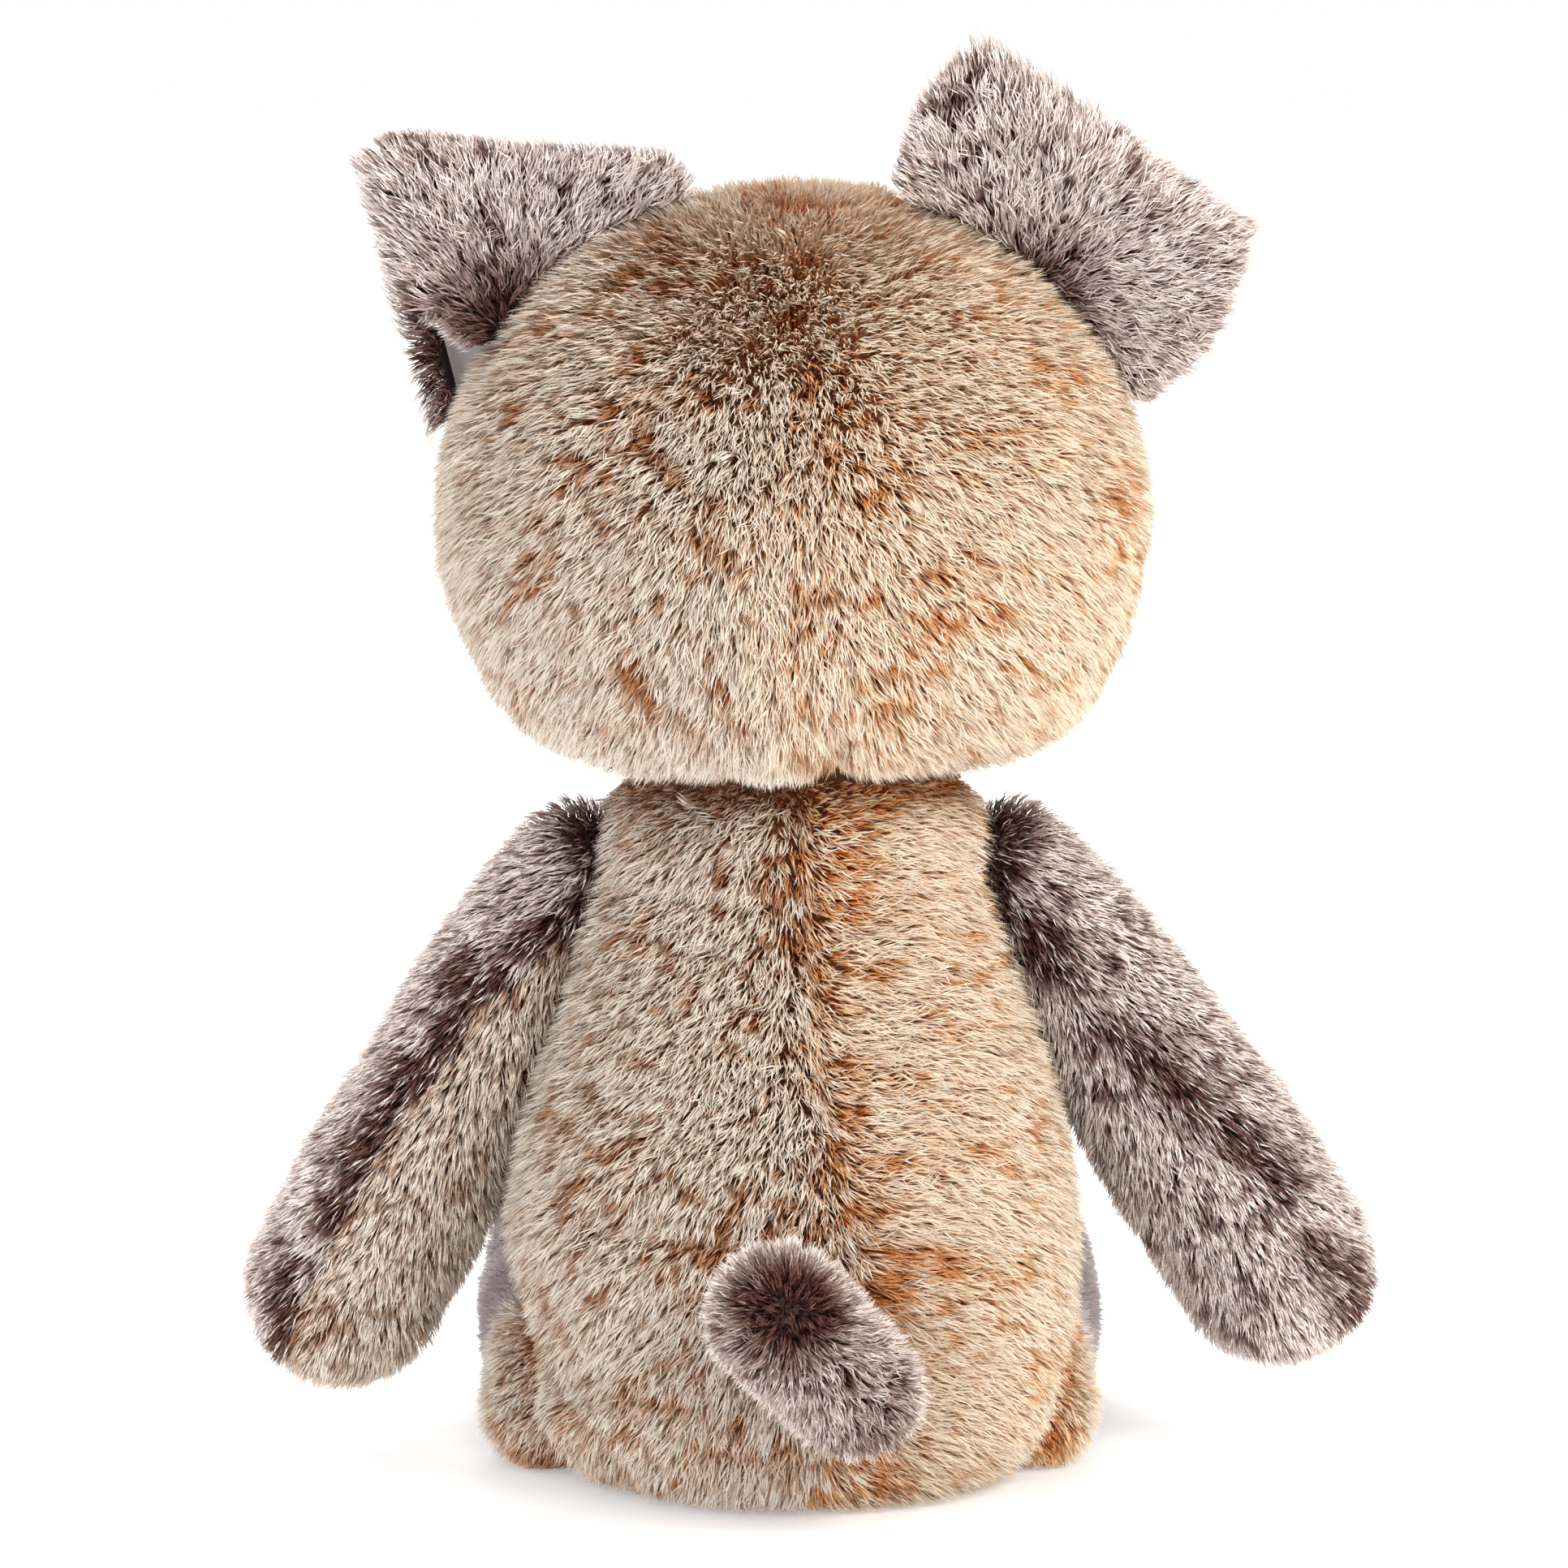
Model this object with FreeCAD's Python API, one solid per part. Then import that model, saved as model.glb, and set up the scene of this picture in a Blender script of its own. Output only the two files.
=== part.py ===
"""A seated plush puppy with a squeeze-to-bark sound module in its body.

Millimetres. +Z is up, the puppy faces -Y, and +X is the puppy's left. The origin is in the middle of
the flat seat. Outer faces lie half way up the fur pile: a cover's wall is its backing cloth together
with the lower half of the pile.
"""
import FreeCAD, Part
import math
import os

V = FreeCAD.Vector
UP = V(0, 0, 1)
ORIGIN = V(0, 0, 0)
BIG = 500.0

# Fabric and fit
WALL = 6.0                # backing cloth and the lower half of the pile
FILL_GAP = 0.3            # between a cover and the stuffing in it
JOINT_GAP = 1.0           # between pieces that move past each other
LINING = 1.5              # smooth cloth inside an ear

# Body: radius and height up the side, from the seat to the shoulders
TORSO_SIDE = [(50, 0), (58, 4), (62.5, 14), (65, 34), (66.5, 60), (63.2, 86), (54.8, 115), (45, 150)]
NECK = V(0, 0, 150)       # the head turns and nods about this point
NECK_R = 45.5
NECK_PAD = 2.0
NECK_PAD_FOOT = 184.0     # height of the pad's lower edge
BELLY_HALF_WIDTH = 30.0
BELLY_TOP = 138.0

# Head
HEAD = V(0, 0, 234)
HEAD_R = 75.5
CHEEK = 6.5               # the head is two balls this far to each side of its middle
MUZZLE = V(0, -56, 208)
MUZZLE_R = 35.0
NOSE_Z = 221.0
NOSE_HALF = 5.0           # from the middle of the nose to the centre of each round end
NOSE_R = 7.0
EYE_X = 31.0
EYE_Z = 243.0
EYE_R = 8.5
EYE_SUNK = 2.5            # from the fur's face to the middle of the eye's ball
EYE_BACK = 4.5            # from the fur's face to the flat back of the eye
SHANK_R = 2.0
SHANK = 20.0
WASHER_R = 7.0
WASHER = 1.6
EYE_WASHER_DEPTH = 6.6
NOSE_WASHER_DEPTH = 12.0
THREAD_R = 0.8

# Limbs: (centre, radius) of the joint end and of the far end
ARMS = {
    "left": [(V(60, 0, 147), 15.0), (V(111, -26, 40), 21.5)],
    "right": [(V(-60, 0, 147), 15.0), (V(-119, -26, 46), 22.0)],
}
ELBOW_R = 18.8
LEGS = {
    "left": [(V(48, -5, 25), 24.0), (V(57, -85, 24.5), 23.5)],
    "right": [(V(-46, -5, 25), 24.0), (V(-55, -85, 24.5), 23.5)],
}
LEG_SPREAD = (-5, 20)
TOE_RISE = V(0, -3, 9)    # from the heel end of a foot to the centre of its toes
TOE_R = 22.0
SHORT_PILE_Y = -58.0      # the foot's short-pile cloth starts here
SOLE_Y = -99.0            # back of the sole
SOLE = 3.0
TAIL = [(V(-15, 74, 32), 13.5), (V(3, 87.5, 53), 13.5)]
SOCKET_GAP = 3.5          # round an arm's or the tail's joint end, in the body

# Ears: outlines seen from behind as (X, Z), of the part sewn to the head and of the part folded over
# in front of it; the fold runs from the first to the second point of "fold"
EARS = {
    "left": {
        "back": [(22, 300), (30, 318), (60, 319), (92, 322), (108, 318), (107, 290), (84, 283), (62, 268)],
        "front": [(70, 314), (88, 322), (108, 318), (107, 280), (97, 256), (86, 250), (80, 262)],
        "fold": [(84, 248), (102, 318)],
    },
    "right": {
        "back": [(-24, 300), (-32, 330), (-46, 347), (-78, 326), (-108, 304), (-96, 276), (-74, 258)],
        "front": [(-46, 347), (-78, 326), (-108, 304), (-98, 280), (-84, 279), (-54, 308)],
        "fold": [(-106, 303), (-46, 345)],
    },
}
EAR_BACK_Y = 10.0         # rear face of an ear
EAR_THICK = 6.0
EAR_BEND_R = 13.0         # outside of the fold
EAR_GAP = 2.4             # between an ear and the head

# Sound module, drawn lying on its back: its own +Z is the front, its own +Y is up
MODULE = V(0, -2, 98)
CASE_R = 32.0
CASE_WALL = 1.8
FRONT_DEPTH = 13.0
REAR_DEPTH = 15.0
FIT = 0.2
BUTTON_R = 11.0
BUTTON_FLANGE = 2.0
BUTTON_STANDS = 4.0
BUTTON_TRAVEL = 2.0
BOARD_R = 22.0
BOARD_Z = 2.0
BOARD = 1.4
CELL_R = 5.8
CELL_H = 5.4
CELLS = [(-12.6, -14), (0, -14), (12.6, -14)]
CONTACT = 0.4
DOOR = (20.0, -21.0, -7.0)           # half width, lower edge, upper edge
DOOR_SCREW = (0, -4)
SPEAKER = (0, 11)
SPEAKER_R = 12.0
SPEAKER_H = 4.5
GRILLE = [-4.0, 0.0, 4.0]
CASE_SCREWS = [(-25.5, 2), (25.5, 2), (0, 26.6)]
POST_R = 2.6
SCREW_R = 0.9
SCREW_HEAD_R = 1.8
SCREW_HEAD = 1.2
SWITCH = (-20.0, 14.0)
SWITCH_TRAVEL = 3.0
POUCH_R = 33.2
POUCH_REAR = -18.4
POUCH_FRONT = 18.0
POUCH = 1.2

# Seat
SLIT = (50.0, 1.2, 20.0)             # length, width, and how far behind the middle
STRIP = (46.0, 9.0, 1.6)
BEANS = V(0, 25, 28)
BEANS_R = 25.0
BEANS_H = 14.0

os.makedirs("parts", exist_ok=True)


# Shapes

def save(name, shape):
    """One node: every solid of the shape, cleaned of split faces."""
    solids = [s for s in shape.Solids if s.Volume > 1.0]
    body = solids[0] if len(solids) == 1 else Part.makeCompound(solids)
    body.exportStep(f"parts/{name}.step")


def cylinder(x, y, low, high, radius):
    return Part.makeCylinder(radius, high - low, V(x, y, low))


def block(low, high):
    return Part.makeBox(high[0] - low[0], high[1] - low[1], high[2] - low[2], V(*low))


def ball(centre, radius):
    return Part.makeSphere(radius, centre)


def turned(edges):
    """The solid swept by a closed outline in the XZ plane, turned about Z."""
    return Part.Face(Part.Wire(edges)).revolve(ORIGIN, UP, 360).Solids[0]


def line(a, b):
    return Part.LineSegment(a, b).toShape()


def arc(a, b, c):
    return Part.Arc(a, b, c).toShape()


def tapered(start, start_r, end, end_r):
    """Two balls and the cone that touches both."""
    along = end - start
    length = along.Length
    tilt = math.asin((start_r - end_r) / length)
    near = V(start_r * math.cos(tilt), 0, start_r * math.sin(tilt))
    far = V(end_r * math.cos(tilt), 0, length + end_r * math.sin(tilt))
    low_mid = (tilt - math.pi / 2) / 2
    high_mid = (tilt + math.pi / 2) / 2
    bottom, top = V(0, 0, -start_r), V(0, 0, length + end_r)
    solid = turned([
        arc(bottom, V(start_r * math.cos(low_mid), 0, start_r * math.sin(low_mid)), near),
        line(near, far),
        arc(far, V(end_r * math.cos(high_mid), 0, length + end_r * math.sin(high_mid)), top),
        line(top, bottom),
    ])
    solid.Placement = FreeCAD.Placement(start, FreeCAD.Rotation(UP, along))
    return solid


def prism(points, low_y, high_y):
    """An outline in (X, Z) drawn through from low_y to high_y."""
    corners = [V(x, low_y, z) for x, z in points]
    face = Part.Face(Part.makePolygon(corners + corners[:1]))
    return face.extrude(V(0, high_y - low_y, 0))


# Body shapes at an inset from the outer face

def torso_shape(inset):
    side = []
    for i, (r, z) in enumerate(TORSO_SIDE):
        before = TORSO_SIDE[max(i - 1, 0)]
        after = TORSO_SIDE[min(i + 1, len(TORSO_SIDE) - 1)]
        run, rise = after[0] - before[0], after[1] - before[1]
        length = math.hypot(run, rise)
        side.append(V(r - inset * rise / length, 0, max(z + inset * run / length, inset)))
    curve = Part.BSplineCurve()
    curve.interpolate(side)
    bottom, top = V(0, 0, side[0].z), V(0, 0, side[-1].z)
    pear = turned([line(bottom, side[0]), curve.toShape(), line(side[-1], top), line(top, bottom)])
    return pear.fuse(ball(NECK, NECK_R - inset))


def head_shape(inset):
    cheek = V(CHEEK, 0, 0)
    skull = tapered(HEAD - cheek, HEAD_R - inset, HEAD + cheek, HEAD_R - inset)
    return skull.fuse(ball(MUZZLE, MUZZLE_R - inset))


def arm_shape(side, inset):
    """Round ends on a straight axis, swollen at the elbow."""
    (shoulder, shoulder_r), (paw, paw_r) = ARMS[side]
    along = paw - shoulder
    length = along.Length
    near_r, far_r, elbow_r = (r - inset for r in (shoulder_r, paw_r, ELBOW_R))
    bottom, top = V(0, 0, -near_r), V(0, 0, length + far_r)
    near, far, elbow = V(near_r, 0, 0), V(far_r, 0, length), V(elbow_r, 0, length * 0.45)
    half = math.sqrt(0.5)
    solid = turned([
        arc(bottom, V(near_r * half, 0, -near_r * half), near),
        line(near, elbow),
        line(elbow, far),
        arc(far, V(far_r * half, 0, length + far_r * half), top),
        line(top, bottom),
    ])
    solid.Placement = FreeCAD.Placement(shoulder, FreeCAD.Rotation(UP, along))
    return solid


def leg_shape(side, inset):
    (hip, hip_r), (heel, heel_r) = LEGS[side]
    thigh = tapered(hip, hip_r - inset, heel, heel_r - inset)
    return thigh.fuse(tapered(heel, heel_r - inset, heel + TOE_RISE, TOE_R - inset))


def tail_shape(inset):
    (base, base_r), (tip, tip_r) = TAIL
    return tapered(base, base_r - inset, tip, tip_r - inset)


def leg_pocket(side):
    """Upright walls round the space that a leg spreads through."""
    (hip, hip_r), (heel, _) = LEGS[side]
    radius, turn = hip_r + JOINT_GAP, 1 if side == "left" else -1
    inward, outward = (turn * angle for angle in LEG_SPREAD)
    legs = []
    for angle, edge in ((inward, -turn), (outward, turn)):
        along = (heel - hip).normalize()
        along = FreeCAD.Rotation(UP, angle).multVec(V(along.x, along.y, 0).normalize())
        across = V(-along.y, along.x, 0) * (radius * edge)
        legs.append((hip + across, hip + across + along * BIG))
    (near_in, far_in), (near_out, far_out) = legs
    floor, ceiling = -1.0, hip.z + radius
    corners = [V(p.x, p.y, floor) for p in (hip, near_in, far_in, far_out, near_out)]
    sector = Part.Face(Part.makePolygon(corners + corners[:1])).extrude(V(0, 0, ceiling - floor))
    return sector.fuse(cylinder(hip.x, hip.y, floor, ceiling, radius))


def hollows():
    """The room that the limbs and the tail need in the body."""
    cutters = [ball(TAIL[0][0], TAIL[0][1] + SOCKET_GAP)]
    for side in ARMS:
        shoulder, shoulder_r = ARMS[side][0]
        cutters += [ball(shoulder, shoulder_r + SOCKET_GAP), leg_pocket(side)]
    return cutters


def rounded_cell(centre, radius, height):
    """A cushion with a flat top and bottom and a round rim."""
    half, flat = height / 2, radius - height / 2
    cell = turned([
        line(V(0, 0, -half), V(flat, 0, -half)),
        arc(V(flat, 0, -half), V(radius, 0, 0), V(flat, 0, half)),
        line(V(flat, 0, half), V(0, 0, half)),
        line(V(0, 0, half), V(0, 0, -half)),
    ])
    cell.translate(centre)
    return cell


# Torso

def module_pouch_solid(grow):
    shape = cylinder(0, 0, POUCH_REAR - grow, POUCH_FRONT + grow, POUCH_R + grow)
    return in_body(shape)


def in_body(shape):
    """Stand a module piece up in the body, its front towards the belly."""
    placed = shape.copy()
    placed.rotate(ORIGIN, V(1, 0, 0), 90)
    placed.translate(MODULE)
    return placed


def strip(low):
    length, width, thick = STRIP
    y = SLIT[2]
    return block((-length / 2, y - width / 2, low), (length / 2, y + width / 2, low + thick))


def build_torso():
    cutters = hollows()
    shell = torso_shape(0).cut(torso_shape(WALL)).cut(cutters)
    belly_zone = prism(
        [(-BELLY_HALF_WIDTH, WALL), (BELLY_HALF_WIDTH, WALL),
         (BELLY_HALF_WIDTH * 0.6, BELLY_TOP), (-BELLY_HALF_WIDTH * 0.6, BELLY_TOP)], -BIG, 0)
    seat_zone = block((-BIG, -BIG, -BIG), (BIG, BIG, WALL))
    length, width, behind = SLIT
    slit = block((-length / 2, behind - width / 2, -1), (length / 2, behind + width / 2, WALL + 1))
    save("seat_panel", shell.common(seat_zone).cut(slit))
    sides = shell.cut(seat_zone)
    save("belly_panel", sides.common(belly_zone))
    save("torso_cover", sides.cut(belly_zone))

    hook_low = WALL + 2 * FILL_GAP
    hook, loop = strip(hook_low), strip(hook_low + STRIP[2])
    beans = rounded_cell(BEANS, BEANS_R, BEANS_H * 2)
    save("hook_strip", hook)
    save("loop_strip", loop)
    save("bean_bag", beans)
    length, width, thick = (size + 2 * FILL_GAP for size in STRIP)
    strip_room = block((-length / 2, behind - width / 2, 0), (length / 2, behind + width / 2,
                       hook_low + 2 * STRIP[2] + FILL_GAP))
    bean_room = rounded_cell(BEANS, BEANS_R + FILL_GAP, BEANS_H * 2 + 2 * FILL_GAP)
    stuffing = torso_shape(WALL + FILL_GAP).cut(cutters)
    save("torso_stuffing", stuffing.cut([strip_room, bean_room, module_pouch_solid(POUCH + FILL_GAP)]))
    save("module_pouch", module_pouch_solid(POUCH).cut(module_pouch_solid(0)))


# Sound module

def post(x, y, low, high):
    return cylinder(x, y, low, high, POST_R).cut(cylinder(x, y, low - 1, high + 1, SCREW_R))


def screw(x, y, head_low, end):
    return cylinder(x, y, head_low, head_low + SCREW_HEAD, SCREW_HEAD_R).fuse(
        cylinder(x, y, head_low + SCREW_HEAD, end, SCREW_R - 0.05))


def build_case():
    front = cylinder(0, 0, 0, FRONT_DEPTH, CASE_R).cut([
        cylinder(0, 0, -1, FRONT_DEPTH - CASE_WALL, CASE_R - CASE_WALL),
        cylinder(0, 0, 0, FRONT_DEPTH + 1, BUTTON_R + FIT)])
    rear = cylinder(0, 0, -REAR_DEPTH, 0, CASE_R).cut(
        cylinder(0, 0, -REAR_DEPTH + CASE_WALL, 1, CASE_R - CASE_WALL))
    for x, y in CASE_SCREWS:
        front = front.fuse(post(x, y, 0, FRONT_DEPTH - CASE_WALL))
        rear = rear.fuse(cylinder(x, y, -REAR_DEPTH, 0, POST_R)).cut(
            cylinder(x, y, -REAR_DEPTH - 1, 1, SCREW_R))
    door_x, door_y = DOOR_SCREW
    boss = cylinder(door_x, door_y, -REAR_DEPTH, -REAR_DEPTH + 6, 2.2)
    half, low, high = DOOR
    switch_x, switch_y = SWITCH
    openings = [block((-half, low, -REAR_DEPTH - 1), (half, high, -REAR_DEPTH + CASE_WALL))]
    openings.append(cylinder(door_x, door_y, -REAR_DEPTH - 1, -REAR_DEPTH + 7, SCREW_R))
    openings.append(block((switch_x - 1.5 - FIT, switch_y - 1.5, -REAR_DEPTH - 1),
                          (switch_x + 1.5 + SWITCH_TRAVEL + FIT, switch_y + 1.5, -REAR_DEPTH + CASE_WALL)))
    for rise in GRILLE:
        x, y = SPEAKER
        openings.append(block((x - 7, y + rise - 0.8, -REAR_DEPTH - 1),
                              (x + 7, y + rise + 0.8, -REAR_DEPTH + CASE_WALL)))
    save("module_front_shell", in_body(front))
    save("module_rear_shell", in_body(rear.fuse(boss).cut(openings)))

    plate = block((-half + FIT, low + FIT, -REAR_DEPTH), (half - FIT, high - FIT, -REAR_DEPTH + CASE_WALL))
    tab = block((-4, high - 3, -REAR_DEPTH - 1.2), (4, door_y + 3, -REAR_DEPTH - 0.05))
    step = block((-4, high - 3, -REAR_DEPTH - 0.05), (4, high - FIT, -REAR_DEPTH))
    hole = cylinder(door_x, door_y, -REAR_DEPTH - 2, -REAR_DEPTH + 1, SCREW_R)
    save("battery_door", in_body(plate.fuse([tab, step]).cut(hole)))
    save("door_screw", in_body(screw(door_x, door_y, -REAR_DEPTH - 1.25 - SCREW_HEAD, -REAR_DEPTH + 5)))
    screws = [screw(x, y, -REAR_DEPTH - SCREW_HEAD - 0.05, FRONT_DEPTH - CASE_WALL - 2) for x, y in CASE_SCREWS]
    save("case_screws", in_body(Part.makeCompound(screws)))


def build_works():
    board_top = BOARD_Z + BOARD
    save("circuit_board", in_body(cylinder(0, 0, BOARD_Z, board_top, BOARD_R)))
    flange_low = FRONT_DEPTH - CASE_WALL - FIT - BUTTON_FLANGE
    contact_top = flange_low - BUTTON_TRAVEL - FIT / 2
    contact = block((-3, -3, board_top), (3, 3, contact_top - 0.8)).fuse(
        cylinder(0, 0, contact_top - 0.8, contact_top, 1.6))
    save("contact_switch", in_body(contact))
    button = cylinder(0, 0, flange_low, flange_low + BUTTON_FLANGE, BUTTON_R + 2).fuse(
        cylinder(0, 0, flange_low, FRONT_DEPTH + BUTTON_STANDS, BUTTON_R))
    rim = [e for e in button.Edges if abs(e.BoundBox.ZMin - FRONT_DEPTH - BUTTON_STANDS) < 0.01]
    save("press_button", in_body(button.makeFillet(1.2, rim)))

    x, y = SPEAKER
    speaker_low = -REAR_DEPTH + CASE_WALL + FIT
    cone = Part.makeCone(SPEAKER_R - 2, 4, 2.0, V(x, y, speaker_low - 0.01))
    magnet = cylinder(x, y, speaker_low + SPEAKER_H, speaker_low + SPEAKER_H + 2, 6)
    speaker = cylinder(x, y, speaker_low, speaker_low + SPEAKER_H, SPEAKER_R).cut(cone).fuse(magnet)
    save("speaker", in_body(speaker))

    cell_low = -REAR_DEPTH + CASE_WALL + 2 * FIT
    cells = [cylinder(x, y, cell_low, cell_low + CELL_H, CELL_R) for x, y in CELLS]
    plate_low = cell_low + CELL_H + 0.05
    plates = [cylinder(x, y, plate_low, plate_low + CONTACT, CELL_R - 2) for x, y in CELLS]
    save("button_cells", in_body(Part.makeCompound(cells)))
    save("battery_contacts", in_body(Part.makeCompound(plates)))

    x, y = SWITCH
    inside = -REAR_DEPTH + CASE_WALL + FIT
    knob = block((x - 1.5, y - 1.3, -REAR_DEPTH - 1.6), (x + 1.5, y + 1.3, inside))
    base = block((x - 2.8, y - 2.6, inside), (x + 2.8, y + 2.6, inside + 2))
    save("slide_switch", in_body(knob.fuse(base)))


# Head

def washer(seat, inward, depth):
    """The ring that locks a shank, and its room in the stuffing."""
    low = seat + inward * depth
    ring = Part.makeCylinder(WASHER_R, WASHER, low, inward).cut(
        Part.makeCylinder(SHANK_R + 0.05, SHANK, seat, inward))
    room = Part.makeCylinder(WASHER_R + FILL_GAP, WASHER + 2 * FILL_GAP, low - inward * FILL_GAP, inward)
    return ring, room


def eye(side):
    """A flat-backed dome on its shank, with its washer and the washer's room."""
    across, up = EYE_X - CHEEK, EYE_Z - HEAD.z
    out = V(side * across, -math.sqrt(HEAD_R ** 2 - across ** 2 - up ** 2), up) / HEAD_R
    seat = HEAD + V(side * CHEEK, 0, 0) + out * HEAD_R
    rim = math.sqrt(EYE_R ** 2 - (EYE_BACK - EYE_SUNK) ** 2)
    top, foot = V(0, 0, EYE_R - EYE_SUNK), V(0, 0, -SHANK)
    dome = turned([
        line(foot, V(SHANK_R, 0, -SHANK)),
        line(V(SHANK_R, 0, -SHANK), V(SHANK_R, 0, -EYE_BACK)),
        line(V(SHANK_R, 0, -EYE_BACK), V(rim, 0, -EYE_BACK)),
        arc(V(rim, 0, -EYE_BACK), V(EYE_R, 0, -EYE_SUNK), top),
        line(top, foot),
    ])
    dome.Placement = FreeCAD.Placement(seat, FreeCAD.Rotation(UP, out))
    return (dome,) + washer(seat, -out, EYE_WASHER_DEPTH)


def nose():
    """A bar with round ends on its shank, with its washer and the washer's room."""
    drop = NOSE_Z - MUZZLE.z
    seat = V(0, MUZZLE.y - math.sqrt(MUZZLE_R ** 2 - drop ** 2), NOSE_Z)
    half, back = V(NOSE_HALF, 0, 0), V(0, 1, 0)
    bar = tapered(seat - half, NOSE_R, seat + half, NOSE_R)
    piece = bar.fuse(Part.makeCylinder(SHANK_R, SHANK, seat, back))
    return (piece,) + washer(seat, back, NOSE_WASHER_DEPTH)


def thread(start, end):
    """Mouth stitching over the muzzle, between two directions seen from its middle."""
    ring_r = MUZZLE_R + THREAD_R + 0.2
    axis = start.cross(end).normalize()
    sweep = math.degrees(start.getAngle(end))
    point = MUZZLE + start * ring_r
    section = Part.Face(Part.Wire(Part.makeCircle(THREAD_R, point, axis.cross(start))))
    return section.revolve(MUZZLE, axis, sweep).fuse([ball(point, THREAD_R), ball(MUZZLE + end * ring_r, THREAD_R)])


def mouth_stitch():
    top, bottom = V(0, -1, 0.08).normalize(), V(0, -1, -0.45).normalize()
    smile = [V(side * 0.55, -1, -0.42).normalize() for side in (-1, 1)]
    stitches = [thread(bottom, end) for end in smile]
    return thread(top, bottom).fuse(stitches)


def build_head():
    hollow = ball(NECK, NECK_R + 2 * FILL_GAP + NECK_PAD + JOINT_GAP / 2)
    (left, left_ring, left_room), (right, right_ring, right_room) = eye(1), eye(-1)
    nose_piece, nose_ring, nose_room = nose()
    solids = [left, right, nose_piece]
    save("eye_left", left)
    save("eye_right", right)
    save("nose", nose_piece)
    save("eye_washers", Part.makeCompound([left_ring, right_ring]))
    save("nose_washer", nose_ring)
    save("mouth_stitch", mouth_stitch())

    shell = head_shape(0).cut(head_shape(WALL)).cut([hollow] + solids)
    muzzle_zone = ball(MUZZLE, MUZZLE_R + 0.5).common(block((-BIG, -BIG, -BIG), (BIG, MUZZLE.y, BIG)))
    save("muzzle_cover", shell.common(muzzle_zone))
    save("head_cover", shell.cut(muzzle_zone))
    stuffing = head_shape(WALL + FILL_GAP)
    for cutter in [hollow, left_room, right_room, nose_room] + solids:
        stuffing = stuffing.cut(cutter)
    save("head_stuffing", stuffing)

    inner = NECK_R + FILL_GAP * 2
    pad = ball(NECK, inner + NECK_PAD).cut(ball(NECK, inner))
    save("neck_pad", pad.cut(block((-BIG, -BIG, -BIG), (BIG, BIG, NECK_PAD_FOOT))))


def build_ear(side):
    ear = EARS[side]
    (low_x, low_z), (high_x, high_z) = ear["fold"]
    along = V(high_x - low_x, 0, high_z - low_z).normalize()
    outward = along.cross(V(0, 1, 0))
    if outward.x * low_x < 0:
        outward = -outward
    start = V(low_x, 0, low_z) - along * 60
    mid_y = EAR_BACK_Y - EAR_BEND_R

    def bent(grow):
        """A flattened tube whose outer side is the fold; grow moves its wall."""
        radius = EAR_BEND_R + grow
        base = start - outward * EAR_BEND_R
        back, front = V(0, mid_y + radius, 0), V(0, mid_y - radius, 0)
        reach = outward * -140
        edges = [
            line(base + reach + back, base + back),
            arc(base + back, base + outward * radius + V(0, mid_y, 0), base + front),
            line(base + front, base + reach + front),
            line(base + reach + front, base + reach + back),
        ]
        return Part.Face(Part.Wire(edges)).extrude(along * 220)

    zone = prism(ear["back"], mid_y, BIG).fuse(prism(ear["front"], -BIG, mid_y))
    skull = head_shape(-EAR_GAP)
    sheet = bent(0).cut(bent(-EAR_THICK)).common(zone).cut(skull)
    inner = bent(-EAR_THICK - 0.1).cut(bent(-EAR_THICK - LINING)).common(zone).cut(skull)
    save(f"ear_{side}_fur", sheet)
    save(f"ear_{side}_lining", inner)


# Limbs and tail

def build_arm(side):
    save(f"arm_{side}_cover", arm_shape(side, 0).cut(arm_shape(side, WALL)))
    save(f"arm_{side}_stuffing", arm_shape(side, WALL + FILL_GAP))


def build_leg(side):
    behind_sole = block((-BIG, SOLE_Y, -BIG), (BIG, BIG, BIG))
    sole_zone = block((-BIG, SOLE_Y - SOLE, -BIG), (BIG, SOLE_Y - 0.05, BIG))
    fill_zone = block((-BIG, SOLE_Y + FILL_GAP, -BIG), (BIG, BIG, BIG))
    thigh_zone = block((-BIG, SHORT_PILE_Y, -BIG), (BIG, BIG, BIG))
    outer = leg_shape(side, 0)
    shell = outer.common(behind_sole).cut(leg_shape(side, WALL))
    save(f"leg_{side}_cover", shell.common(thigh_zone))
    save(f"foot_{side}_cover", shell.cut(thigh_zone))
    save(f"foot_{side}_sole", outer.common(sole_zone))
    save(f"leg_{side}_stuffing", leg_shape(side, WALL + FILL_GAP).common(fill_zone))


def build_tail():
    save("tail_cover", tail_shape(0).cut(tail_shape(WALL)))
    save("tail_stuffing", tail_shape(WALL + FILL_GAP))


build_torso()
build_case()
build_works()
build_head()
for ear_side in EARS:
    build_ear(ear_side)
for limb_side in ARMS:
    build_arm(limb_side)
    build_leg(limb_side)
build_tail()
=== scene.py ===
import bpy
import math
import numpy as np
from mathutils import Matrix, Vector, geometry, kdtree


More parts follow.
